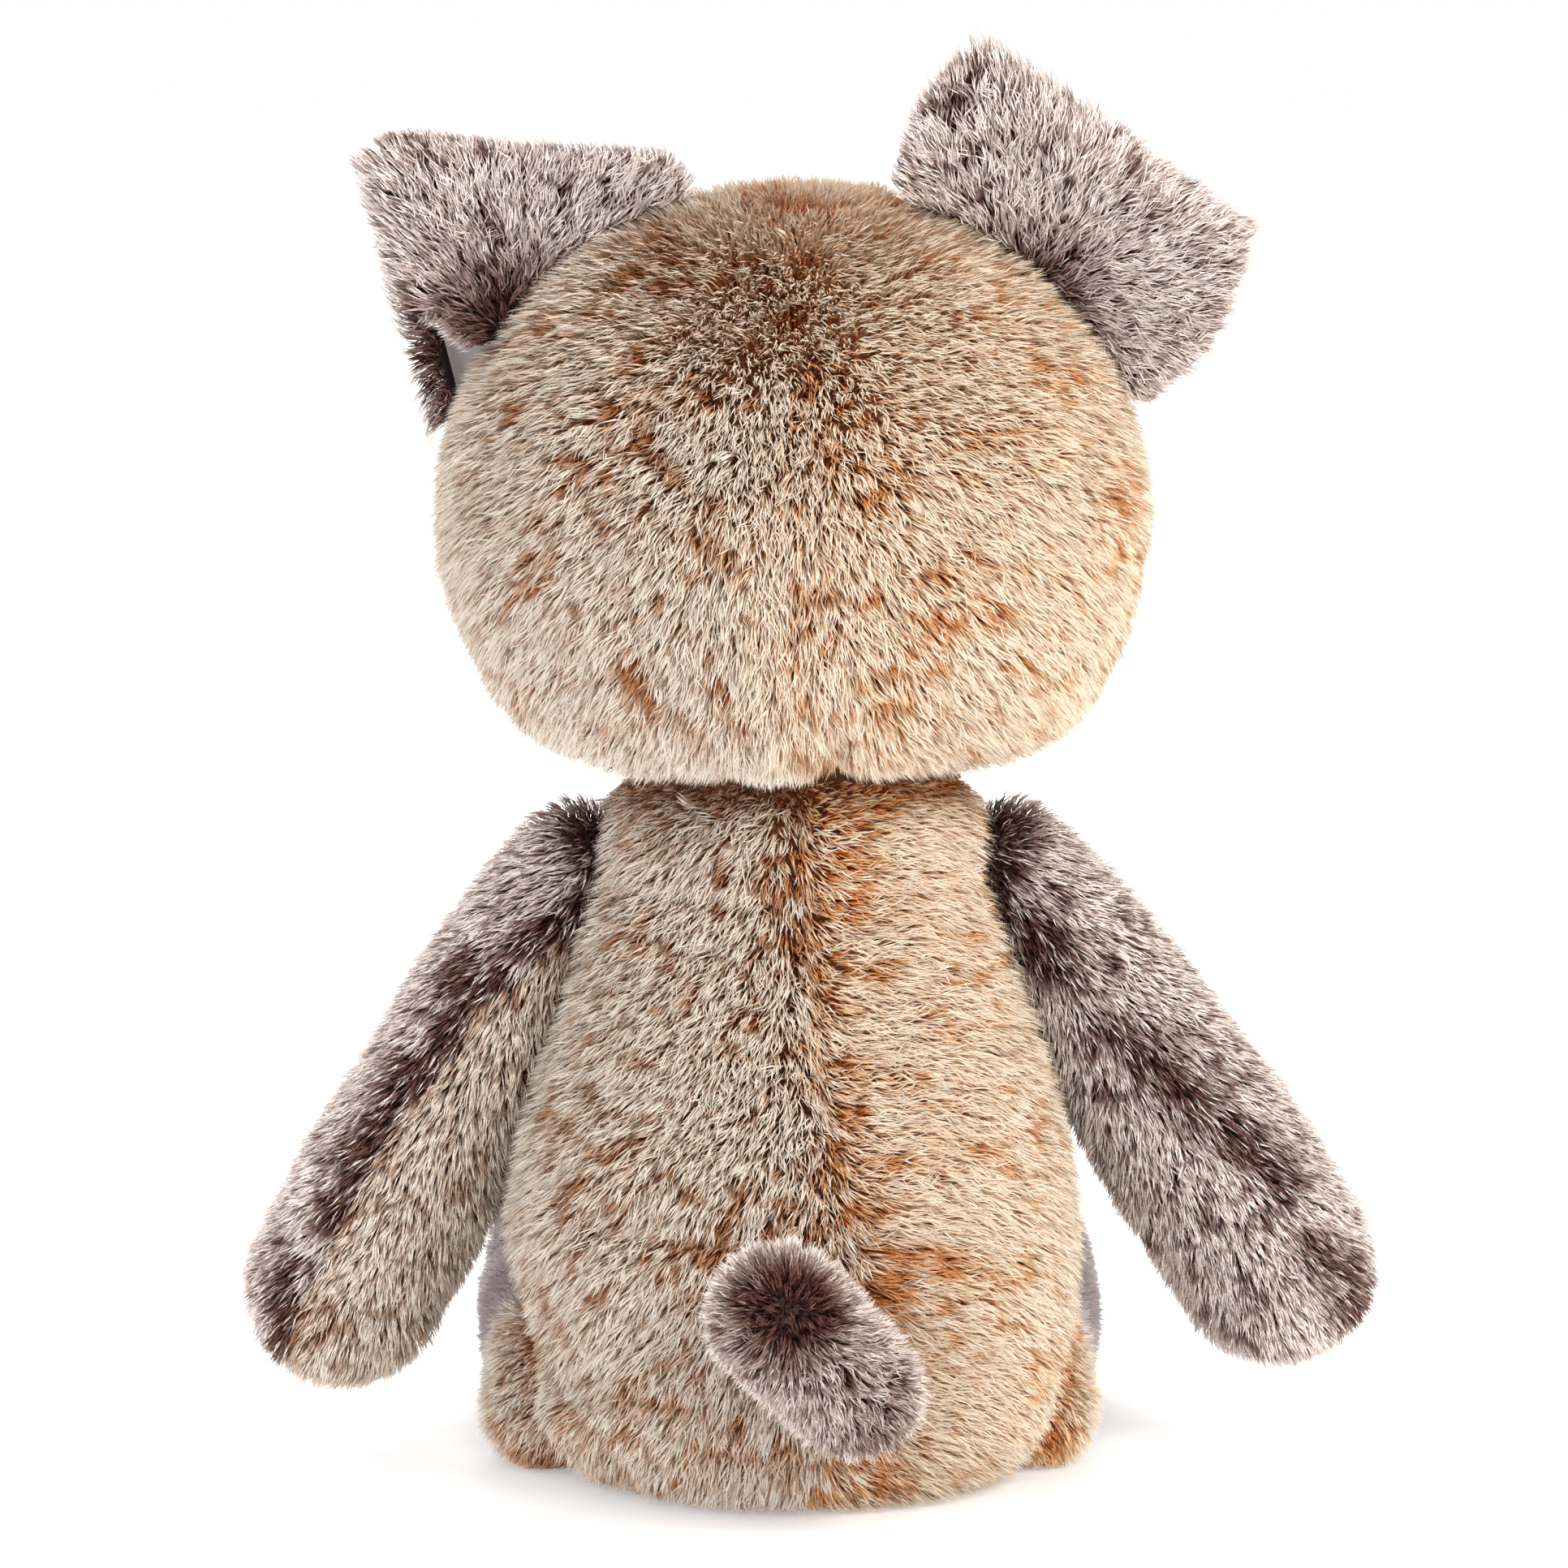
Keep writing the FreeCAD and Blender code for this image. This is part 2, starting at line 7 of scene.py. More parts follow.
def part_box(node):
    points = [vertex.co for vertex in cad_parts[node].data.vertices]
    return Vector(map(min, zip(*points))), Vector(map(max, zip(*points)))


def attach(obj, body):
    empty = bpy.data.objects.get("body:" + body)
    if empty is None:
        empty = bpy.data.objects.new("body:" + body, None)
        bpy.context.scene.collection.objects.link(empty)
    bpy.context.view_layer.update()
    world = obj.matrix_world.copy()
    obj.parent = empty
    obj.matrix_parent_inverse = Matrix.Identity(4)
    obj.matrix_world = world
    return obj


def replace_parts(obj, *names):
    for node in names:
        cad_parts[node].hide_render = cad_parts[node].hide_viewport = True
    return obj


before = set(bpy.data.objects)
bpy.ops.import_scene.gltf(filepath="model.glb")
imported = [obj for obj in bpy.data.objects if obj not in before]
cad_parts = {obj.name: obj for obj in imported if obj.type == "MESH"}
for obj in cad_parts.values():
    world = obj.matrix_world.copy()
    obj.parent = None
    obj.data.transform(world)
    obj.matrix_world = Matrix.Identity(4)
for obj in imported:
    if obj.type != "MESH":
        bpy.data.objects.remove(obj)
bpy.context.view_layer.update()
scene = bpy.context.scene

# Millimetres here, metres in the meshes. The pile stands on skins that start INSET inside the CAD's outer
# faces and are then swelled, creased and flattened. Its tips end a few millimetres outside those faces.
INSET = 4.5
TORSO_SIDE = [(50, 0), (58, 4), (62.5, 14), (65, 34), (66.5, 60), (63.2, 86), (54.8, 115), (45, 150)]
NECK, NECK_R = (0, 0, 150), 45.5
HEAD, HEAD_R, CHEEK = (0, 0, 234), 75.5, 6.5
MUZZLE, MUZZLE_R = (0, -56, 208), 35.0
EYE_X, EYE_Z = 31.0, 243.0
NOSE_Z = 221.0
ARMS = {
    "left": ((60, 0, 147), 15.0, (111, -26, 40), 21.5),
    "right": ((-60, 0, 147), 15.0, (-119, -26, 46), 22.0),
}
ELBOW_R = 18.8
# The visible shoulder starts further in and higher than its CAD solid
SHOULDER_IN, SHOULDER_UP = 7.5, 3
LEGS = {
    "left": ((48, -5, 25), 24.0, (57, -85, 24.5), 23.5),
    "right": ((-46, -5, 25), 24.0, (-55, -85, 24.5), 23.5),
}
TOE_RISE, TOE_R, SHORT_PILE_Y, SOLE_Y = (0, -3, 9), 22.0, -58.0, -99.0
TAIL = ((-15, 74, 32), 13.5, (3, 87.5, 53), 13.5)
EARS = {
    "left": {
        "back": [(22, 300), (30, 318), (60, 319), (92, 322), (108, 318), (107, 290), (84, 283), (62, 268)],
        "front": [(66, 314), (88, 322), (108, 318), (107, 280), (97, 256), (86, 250), (72, 262)],
        "fold": [(84, 248), (102, 318)],
    },
    "right": {
        "back": [(-24, 300), (-32, 330), (-46, 347), (-78, 326), (-108, 304), (-96, 276), (-74, 258)],
        "front": [(-46, 347), (-78, 326), (-108, 304), (-98, 280), (-84, 279), (-54, 308)],
        "fold": [(-106, 303), (-46, 345)],
    },
}
EAR_BACK_Y, EAR_BEND_R = 10.0, 13.0
EAR_ROOT = {"left": (68, 6, 278), "right": (-55, 6, 286)}
BELLY_TOP, BELLY_HALF, BELLY_TAPER = 138, 30, 12
FLOOR_HALF = 6000

# Pile lengths, and how it is planted
PILE = {"body": 10.5, "arm": 8.6, "arm_seam": 3.2, "thigh": 9.5, "shin": 8.5, "foot": 6.0, "tail": 8.5,
        "ear": 11.5, "ear_edge": 6.5}
FRONT_SHARE = 0.68
# A strand has five triangles, so a piece stays under 200,000
STRANDS_IN_PIECE = 38000

# Where the pile parts and shows its roots, seen from straight behind: across and up of a stroke's two
# ends, its half width, and how strong it is
HEAD_MARKS = [
    (25.1, 284.8, 25.1, 282.2, 8.8, 0.52), (54.5, 289.7, 23.1, 291.6, 7.4, 0.24),
    (54.5, 272, 23.1, 270.1, 8.8, 0.24), (36.8, 252.4, 19.2, 264.2, 8.2, 0.28),
    (7.4, 304.9, 3.1, 297.5, 5.1, 0.49), (45.1, 241.6, 41.2, 227.9, 1.6, 0.95),
    (31, 244.6, 25.1, 238.7, 3.1, 0.6), (53.5, 232.8, 50.6, 221.1, 1.8, 0.5),
    (37.2, 198.5, 30.6, 189.3, 2.2, 0.95), (15.3, 189.7, 11, 185.4, 1.8, 0.7),
    (-4.3, 215.2, -2.4, 206.4, 2, 0.7), (0.6, 246.5, 3.9, 230.9, 1.8, 0.5),
    (-33.7, 247.5, -51.4, 249.5, 1, 0.85), (-22, 242.6, -41.6, 246.1, 1, 0.45),
    (-71, 244.6, -69, 219.1, 1.8, 0.5), (82.3, 242.6, 84.9, 207.3, 1.8, 0.55),
    (76, 205.4, 66.2, 189.7, 1.6, 0.55), (-83.1, 238.7, -83.1, 221.1, 1.6, 0.6),
    (-3.9, 177.5, -8.6, 174.8, 2.4, 1), (29, 175, 5.5, 170.1, 1.2, 0.5),
    (46.6, 187.7, 19.2, 185.4, 1.2, 0.4), (-11.2, 174, -27.8, 171.1, 1.2, 0.4),
    (66.2, 291.6, 66.2, 274, 3.5, 0.6), (-39.6, 219.1, -49.4, 221.1, 1.4, 0.4),
    (-23.9, 193.6, -35.7, 199.5, 1.4, 0.35), (19.2, 228.9, 14.3, 221.1, 2.4, 0.5),
    (-6.3, 238.7, -16.1, 230.9, 1.8, 0.5),
]
TORSO_MARKS = [
    (-4.3, 158.3, -13.1, 156.4, 2.2, 0.9), (-4.3, 150.9, -19.0, 148.1, 1.8, 0.9),
    (-4.3, 136.8, -14.1, 134.8, 2.2, 0.8), (-4.7, 123.1, -17.1, 121.1, 1.8, 0.9),
    (-5.3, 114.8, -12.2, 113.3, 1.8, 0.8), (-6.3, 101.5, -19.0, 99.1, 2.0, 0.9),
    (-6.7, 91.7, -14.1, 89.3, 2.0, 0.8), (-8.2, 79.5, -21.0, 77.0, 2.0, 0.9),
    (-10.2, 68.2, -19.0, 67.2, 2.4, 0.9), (-13.1, 58.4, -25.9, 55.4, 1.8, 0.7),
    (-1.4, 163.2, 0.6, 168.1, 2.4, 0.7), (41.2, 81.9, 46.3, 72.1, 1.6, 0.55),
    (43.1, 96.0, 40.4, 91.3, 1.0, 0.85), (46.6, 63.9, 19.2, 62.3, 1.4, 0.55),
    (19.2, 63.3, 2.5, 58.8, 1.4, 0.7), (37.6, 25.1, 22.7, 22.3, 1.8, 0.95),
    (19.6, 13.3, -4.3, 10.9, 1.4, 0.75), (-4.3, 11.7, -21.0, 9.4, 1.4, 0.6),
    (-30.8, 53.5, -42.5, 50.5, 2.4, 0.8), (-45.5, 15.3, -58.2, 30.9, 1.8, 0.5),
    (29.0, 130.9, 25.1, 127.0, 1.2, 0.5), (15.3, 107.4, 10.4, 103.5, 1.4, 0.5),
    (-33.7, 138.7, -45.5, 136.8, 1.2, 0.45), (-27.8, 111.3, -41.6, 108.9, 1.0, 0.45),
    (54.5, 50.5, 50.6, 34.9, 1.6, 0.35),
]
THIGH_MARKS = [
    (-56.8, 23.1, -61.5, 5.1, 2.4, 0.9), (-40.6, 3.5, -53.3, 1.5, 2.0, 0.5),
    (69.2, 9.4, 54.5, 3.5, 2.7, 0.6), (72.1, 23.1, 68.2, 11.3, 2.0, 0.5),
]
# The last number here is the depth
CREASES = [
    (63.3, 50.5, 50.6, 23.1, 1.8, 2.2), (50.6, 23.1, 34.9, 5.5, 1.8, 2.2),
    (56.4, 54.5, 45.7, 30.9, 1.6, 1.6), (45.7, 30.9, 27.0, 9.4, 1.6, 1.6),
    (20.0, 12.9, -21.0, 9.0, 1.8, 2.0), (46.6, 64.3, 3.5, 59.4, 1.6, 1.2),
    (-1.4, 160.3, -4.3, 101.5, 1.4, 1.6), (-4.3, 101.5, -12.2, 62.3, 1.4, 1.6),
]
HEAD_CREASES = [
    (42.7, 236.2, 38.8, 221.7, 1.5, 1.3), (38.8, 221.7, 27, 191.7, 1.5, 1.5),
    (27, 191.7, 12.7, 173.4, 1.5, 1.5), (-9.6, 181, -9.6, 160, 2.4, 4.5), (46.6, 187.7, 29, 180, 1.4, 1.3),
    (-24, 172, -44, 176, 1.6, 1.3),
]
ARM_SEAMS = {
    "left": [(51.5, 162.7), (43.3, 151.7), (44.1, 144.4), (51.5, 138.9), (61.5, 131.5), (67, 124.2),
             (78, 117), (82.5, 106), (93.7, 91.7), (105.4, 72.1), (119.2, 46.6), (127, 25.1)],
    "right": [(-50.4, 160.3), (-52, 140), (-72, 113), (-92.5, 95.6), (-114.1, 72.1), (-133.7, 40.7)],
}
BAND = {"left": 1.0, "right": 0.8}
EAR_FRONT_TONE = {"left": 0.5, "right": 0.2}
EAR_WHORL = {"left": 15.0, "right": 11.0}
TILT = math.radians(8)


# Arrays

def arr(p):
    return np.asarray(p, float)


def unit(v):
    return v / np.maximum(np.linalg.norm(v, axis=-1, keepdims=True), 1e-9)


def smooth(x, low, high):
    t = np.clip((x - low) / (high - low), 0, 1)
    return t * t * (3 - 2 * t)


def hashed(cells, seed):
    """A number from 0 to 1 for each row of whole numbers."""
    n = cells.astype(np.int64)
    h = n[..., 0] * 374761393 + n[..., 1] * 668265263 + n[..., 2] * 2147483647 + seed * 974634777
    h = (h ^ (h >> 13)) * 1274126177
    h = h ^ (h >> 16)
    return (h & 0xFFFFFF) / float(0xFFFFFF)


def noise(p, size, seed=0):
    """Smooth value noise from 0 to 1; size may be one number or three."""
    q = p / np.asarray(size, float) + 1000.0
    base = np.floor(q)
    f = q - base
    f = f * f * (3 - 2 * f)
    total = 0.0
    for dx in (0, 1):
        for dy in (0, 1):
            for dz in (0, 1):
                w = (np.where(dx, f[:, 0], 1 - f[:, 0]) * np.where(dy, f[:, 1], 1 - f[:, 1])
                     * np.where(dz, f[:, 2], 1 - f[:, 2]))
                total = total + w * hashed(base + (dx, dy, dz), seed)
    return total


def from_behind(p):
    """Across and up, as seen from behind and a little above."""
    return p[:, 0], p[:, 2] * math.cos(TILT) - p[:, 1] * math.sin(TILT)


def stroke_gap(p, stroke):
    x, v = from_behind(p)
    x1, v1, x2, v2 = stroke[:4]
    run, rise = x2 - x1, v2 - v1
    t = np.clip(((x - x1) * run + (v - v1) * rise) / (run * run + rise * rise), 0, 1)
    return np.hypot(x - x1 - t * run, v - v1 - t * rise)


def marked(p, strokes):
    """How strongly each point lies along the strokes, on the rear only: the roots in a parting, or painted
    shade along a crease.
    """
    total = np.zeros(len(p))
    wobble = 0.6 + 0.8 * noise(p, 3.0, 77)
    broken = smooth(noise(p, 2.8, 78), 0.22, 0.62)
    for s in strokes:
        total = np.maximum(total, s[5] * np.exp(-(stroke_gap(p, s) / (s[4] * wobble)) ** 2))
    total = total * (0.35 + 0.65 * broken)
    return total * (p[:, 1] > -5)


# Materials

def linear(rgb):
    c = arr(rgb) / 255
    return tuple(np.where(c <= 0.04045, c / 12.92, ((c + 0.055) / 1.055) ** 2.4)) + (1.0,)


def shader(name, **values):
    mat = bpy.data.materials.new(name)
    mat.use_nodes = True
    p = mat.node_tree.nodes["Principled BSDF"]
    for key, value in values.items():
        p.inputs[key.replace("_", " ")].default_value = value
    return mat, mat.node_tree, p


def ramp(nt, source, stops):
    r = nt.nodes.new("ShaderNodeValToRGB")
    while len(r.color_ramp.elements) < len(stops):
        r.color_ramp.elements.new(0.5)
    for e, (at, rgb) in zip(r.color_ramp.elements, stops):
        e.position, e.color = at, linear(rgb)
    nt.links.new(source, r.inputs["Fac"])
    return r.outputs["Color"]


def noise_node(nt, scale, detail=4.0, rough=0.6):
    co = nt.nodes.new("ShaderNodeTexCoord")
    n = nt.nodes.new("ShaderNodeTexNoise")
    n.inputs["Scale"].default_value = scale
    n.inputs["Detail"].default_value = detail
    n.inputs["Roughness"].default_value = rough
    nt.links.new(co.outputs["Object"], n.inputs["Vector"])
    return n.outputs["Fac"]


def cloth_material(name, stops, scale, bump=0.3, bump_scale=1500, rough=0.85, sheen=0.3):
    mat, nt, p = shader(name, Roughness=rough, Sheen_Weight=sheen, Specular_IOR_Level=0.2)
    nt.links.new(ramp(nt, noise_node(nt, scale), stops), p.inputs["Base Color"])
    b = nt.nodes.new("ShaderNodeBump")
    b.inputs["Strength"].default_value = bump
    b.inputs["Distance"].default_value = 0.0006
    nt.links.new(noise_node(nt, bump_scale, 2.0), b.inputs["Height"])
    nt.links.new(b.outputs["Normal"], p.inputs["Normal"])
    return mat


# Fur colours: for each kind, for each tone from pale to dark, root, middle and tip
TONES = 6
FUR = {
    "cream": {
        "pale": [(222, 160, 106), (236, 206, 172), (243, 230, 210)],
        "dark": [(168, 84, 32), (204, 114, 50), (222, 158, 100)],
    },
    # Greyer, darker fur for the left halves: partly more root showing, partly painted shade of the dimmer
    # left side.
    "ash_and_shade": {
        "pale": [(206, 148, 106), (218, 196, 174), (236, 226, 213)],
        "dark": [(132, 62, 26), (164, 88, 44), (184, 126, 84)],
    },
    "grey": {
        "pale": [(132, 100, 90), (204, 184, 174), (250, 240, 233)],
        "dark": [(54, 26, 22), (70, 36, 30), (100, 66, 56)],
    },
    "taupe": {
        "pale": [(160, 122, 98), (210, 190, 172), (240, 229, 215)],
        "dark": [(92, 50, 34), (124, 76, 52), (166, 122, 94)],
    },
    "short": {
        "pale": [(166, 152, 154), (198, 186, 188), (222, 212, 212)],
        "dark": [(132, 116, 116), (164, 150, 150), (198, 186, 184)],
    },
}


def fur_materials(kind):
    mats = []
    for tone in range(TONES):
        k = tone / (TONES - 1)
        for zone, zone_name in enumerate(("root", "middle", "tip")):
            rgb = arr(FUR[kind]["pale"][zone]) * (1 - k) + arr(FUR[kind]["dark"][zone]) * k
            mat, _, _ = shader(f"{kind}_fur_{zone_name}_{tone + 1}", Roughness=0.8, Specular_IOR_Level=0.12,
                               Base_Color=linear(rgb))
            mats.append(mat)
    return mats


FUR_MATERIALS = {kind: fur_materials(kind) for kind in FUR}


# Meshes

def new_mesh(name, verts, faces, material=None, is_smooth=True):
    me = bpy.data.meshes.new(name)
    me.from_pydata((arr(verts) / 1000).tolist(), [], [list(map(int, f)) for f in faces])
    me.polygons.foreach_set("use_smooth", [is_smooth] * len(me.polygons))
    if material:
        me.materials.append(material)
    me.validate()
    me.update()
    ob = bpy.data.objects.new(name, me)
    scene.collection.objects.link(ob)
    return ob


def grid_faces(rows, cols, closed=True):
    """Quads over rows x cols points; closed joins the last column to the first."""
    r, c = np.meshgrid(np.arange(rows - 1), np.arange(cols if closed else cols - 1), indexing="ij")
    r, c = r.ravel(), c.ravel()
    d = (c + 1) % cols
    return np.stack([r * cols + c, r * cols + d, (r + 1) * cols + d, (r + 1) * cols + c], 1)


def triangles(faces):
    faces = np.asarray(faces)
    if faces.shape[1] == 3:
        return faces
    return np.concatenate([faces[:, [0, 1, 2]], faces[:, [0, 2, 3]]])


def scatter(verts, faces, density, rng, keep):
    """Random points on a skin and the skin's smooth normals there. density is per square mm on the rear,
    and about a third less in front; keep says which points stay."""
    tri = triangles(faces)
    a, b, c = (verts[tri[:, i]] for i in range(3))
    cross = np.cross(b - a, c - a)
    area = np.linalg.norm(cross, axis=1) / 2
    vn = np.zeros_like(verts)
    for i in range(3):
        np.add.at(vn, tri[:, i], cross)
    vn = unit(vn)
    thin = np.where(unit(cross)[:, 1] < -0.25, FRONT_SHARE, 1.0)
    count = np.floor(area * density * thin + rng.random(len(area))).astype(int)
    pick = np.repeat(np.arange(len(tri)), count)
    u, v = rng.random(len(pick)), rng.random(len(pick))
    flip = u + v > 1
    u[flip], v[flip] = 1 - u[flip], 1 - v[flip]
    w = np.stack([1 - u - v, u, v], 1)[:, :, None]
    points = (verts[tri[pick]] * w).sum(1)
    normals = unit((vn[tri[pick]] * w).sum(1))
    ok = keep(points)
    return points[ok], normals[ok]


def border(verts, faces, per_mm, rng):
    """Random points along a sheet's edges, with directions out of its edge and a little off its face."""
    edges = np.concatenate([faces[:, [0, 1]], faces[:, [1, 2]], faces[:, [2, 0]]])
    _, first, count = np.unique(np.sort(edges, 1), axis=0, return_index=True, return_counts=True)
    pick = first[count == 1]
    a, b = verts[edges[pick, 0]], verts[edges[pick, 1]]
    corners = verts[faces[pick % len(faces)]]
    face_normal = unit(np.cross(corners[:, 1] - corners[:, 0], corners[:, 2] - corners[:, 0]))
    out = (a + b) / 2 - corners.mean(1)
    out = unit(out - (out * unit(b - a)).sum(1, keepdims=True) * unit(b - a))
    each = np.floor(np.linalg.norm(b - a, axis=1) * per_mm + rng.random(len(a))).astype(int)
    index = np.repeat(np.arange(len(a)), each)
    points = a[index] + (b - a)[index] * rng.random(len(index))[:, None]
    side = rng.uniform(-0.8, 0.4, len(index))[:, None]
    return points, unit(out[index] + side * face_normal[index])


def uneven(pts, middle, depth=1.1, seed=5):
    """Stuffing never fills a cover evenly, so the skin swells and sinks a little about its middle."""
    lumps = noise(pts, 17.0, seed) + 0.5 * noise(pts, 8.0, seed + 1) - 0.75
    return pts + unit(pts - middle) * (2 * depth * lumps)[:, None]


def capsule_distance(p, start, start_r, end, end_r):
    a, b = arr(start), arr(end)
    t = np.clip(((p - a) @ (b - a)) / ((b - a) @ (b - a)), 0, 1)
    return np.linalg.norm(p - (a + t[:, None] * (b - a)), axis=1) - (start_r + t * (end_r - start_r))


def head_distance(p):
    skull = capsule_distance(p, (-CHEEK, 0, HEAD[2]), HEAD_R, (CHEEK, 0, HEAD[2]), HEAD_R)
    return np.minimum(skull, np.linalg.norm(p - arr(MUZZLE), axis=1) - MUZZLE_R)


def torso_radius(z, inset=0.0):
    side = arr(TORSO_SIDE)
    zs = np.linspace(0, 150, 151)
    rs = np.interp(zs, side[:, 1], side[:, 0])
    kernel = np.ones(9) / 9
    rs[6:-6] = np.convolve(np.pad(rs, 4, "edge"), kernel, "valid")[6:-6]
    return np.interp(z, zs, rs) - inset


def torso_distance(p):
    r = np.hypot(p[:, 0], p[:, 1])
    side = np.maximum(r - torso_radius(p[:, 2]), -p[:, 2])
    return np.where(p[:, 2] > 150, np.linalg.norm(p - arr(NECK), axis=1) - NECK_R, side)


def leg_distance(p, side):
    hip, hip_r, heel, heel_r = LEGS[side]
    thigh = capsule_distance(p, hip, hip_r, heel, heel_r)
    return np.minimum(thigh, capsule_distance(p, heel, heel_r, arr(heel) + TOE_RISE, TOE_R))


# Skins: (points, faces) in mm

def torso_skin(rows=76, cols=120):
    z_low = 2.0
    # up the side, then over the shoulders' dome
    side_n = int(rows * 0.78)
    z = np.concatenate([np.linspace(z_low, 150, side_n), np.full(rows - side_n, 150.0)])
    r = torso_radius(z, INSET)
    angle = np.linspace(0, math.pi / 2 - 0.25, rows - side_n)
    dome_r = NECK_R - INSET
    r[side_n:] = dome_r * np.cos(angle)
    z[side_n:] = 150 + dome_r * np.sin(angle)
    r = np.where(z < 32, np.minimum(r, 31 + 30 * np.sqrt(np.clip(1 - (1 - (z - z_low) / 30) ** 2, 0, 1))), r)
    t = np.linspace(0, 2 * math.pi, cols, endpoint=False)
    height = np.broadcast_to(z[:, None], (rows, cols))
    pts = np.stack([r[:, None] * np.sin(t), r[:, None] * np.cos(t), height], -1).reshape(-1, 3)
    for crease in CREASES:
        sunk = crease[5] * np.exp(-(stroke_gap(pts, crease) / (crease[4] * 2)) ** 2) * (pts[:, 1] > 0)
        pts[:, :2] -= unit(pts[:, :2]) * sunk[:, None]
    axis = np.stack([0 * pts[:, 0], 0 * pts[:, 0], pts[:, 2]], 1)
    return uneven(pts, axis), grid_faces(rows, cols)[:, ::-1]


def head_skin(rows=90, cols=128):
    lat = np.linspace(-math.pi / 2 + 0.02, math.pi / 2 - 0.02, rows)
    lon = np.linspace(0, 2 * math.pi, cols, endpoint=False)
    d = np.stack([np.cos(lat)[:, None] * np.sin(lon), np.cos(lat)[:, None] * np.cos(lon),
                  np.broadcast_to(np.sin(lat)[:, None], (rows, cols))], -1).reshape(-1, 3)
    reach = np.full(len(d), 60.0)
    for _ in range(24):
        reach = reach - (head_distance(arr(HEAD) + d * reach[:, None]) + INSET) * 0.9
    pts = arr(HEAD) + d * reach[:, None]
    drop = HEAD[2] - pts[:, 2]
    pts[:, 2] = HEAD[2] - np.where(drop > 42, 42 + 12 * np.tanh((drop - 42) / 15), drop)
    for crease in HEAD_CREASES:
        sunk = crease[5] * np.exp(-(stroke_gap(pts, crease) / (crease[4] * 2)) ** 2) * (pts[:, 1] > 0)
        pts = pts + unit(arr(HEAD) - pts) * sunk[:, None]
    return uneven(pts, arr(HEAD), 1.3), grid_faces(rows, cols)[:, ::-1]


def frame_of(start, end):
    along = unit(arr(end) - arr(start))
    side = unit(np.cross(along, (0, -1, 0)))
    return along, side, np.cross(side, along)


def capsule_skin(start, start_r, end, end_r, rows=70, cols=64, elbow_r=None):
    """Rings along a limb, with round ends and perhaps a swelling at its elbow."""
    a, b = arr(start), arr(end)
    length = np.linalg.norm(b - a)
    along, side, up = frame_of(a, b)
    r0, r1 = start_r - INSET, end_r - INSET
    ends = rows // 5
    low = -np.cos(np.linspace(0.004, math.pi / 2, ends, endpoint=False))
    high = np.cos(np.linspace(math.pi / 2, 0.004, ends))
    mid = np.linspace(0, 1, rows - 2 * ends)
    middle = r0 + (r1 - r0) * mid
    if elbow_r:
        r0, r1 = r0 - 0.5, r1 + 2
        middle = np.interp(mid, [0, 0.15, 0.45, 0.7, 1], [r0, r0 + 4.2, elbow_r - 1.4, elbow_r + 0.2, r1])
    x = np.concatenate([low * r0, mid * length, length + high * r1])
    r = np.concatenate([r0 * np.sqrt(1 - low ** 2), middle, r1 * np.sqrt(1 - high ** 2)])
    t = np.linspace(0, 2 * math.pi, cols, endpoint=False)
    ring = np.cos(t)[:, None] * up + np.sin(t)[:, None] * side
    axis = np.broadcast_to(a + x[:, None, None] * along, (rows, cols, 3)).reshape(-1, 3)
    return uneven(axis + (r[:, None, None] * ring).reshape(-1, 3), axis), grid_faces(rows, cols)


def leg_skin(side, rows=90, cols=72):
    """A thigh that runs into a foot with raised toes."""
    hip, hip_r, heel, heel_r = LEGS[side]
    a, b = arr(hip), arr(heel)
    pts, faces = capsule_skin(hip, hip_r, heel, heel_r, rows, cols)
    toe = b + TOE_RISE
    for _ in range(8):
        d = np.minimum(capsule_distance(pts, hip, hip_r - INSET, heel, heel_r - INSET),
                       capsule_distance(pts, heel, heel_r - INSET, toe, TOE_R - INSET))
        t = np.clip(((pts - a) @ (b - a)) / ((b - a) @ (b - a)), 0, 1)
        out = unit(pts - (a + t[:, None] * (b - a) + np.where(t[:, None] > 0.97, 0.5 * arr(TOE_RISE), 0)))
        pts = pts - d[:, None] * out * 0.8
    pts[:, 1] = np.maximum(pts[:, 1], SOLE_Y)
    off = pts[:, [0, 2]] - arr([hip[0], hip[2]])
    corner = np.abs(off[:, 0] * off[:, 1]) / np.maximum((off ** 2).sum(1), 1) * 2
    grow = 1 + (0.16 + 0.18 * corner) * smooth(-off[:, 1], 0, 14) * smooth(pts[:, 1], -40, -12)
    pts[:, [0, 2]] = arr([hip[0], hip[2]]) + off * grow[:, None]
    pts[:, 2] = np.maximum(pts[:, 2], 2.0)
    return pts, faces


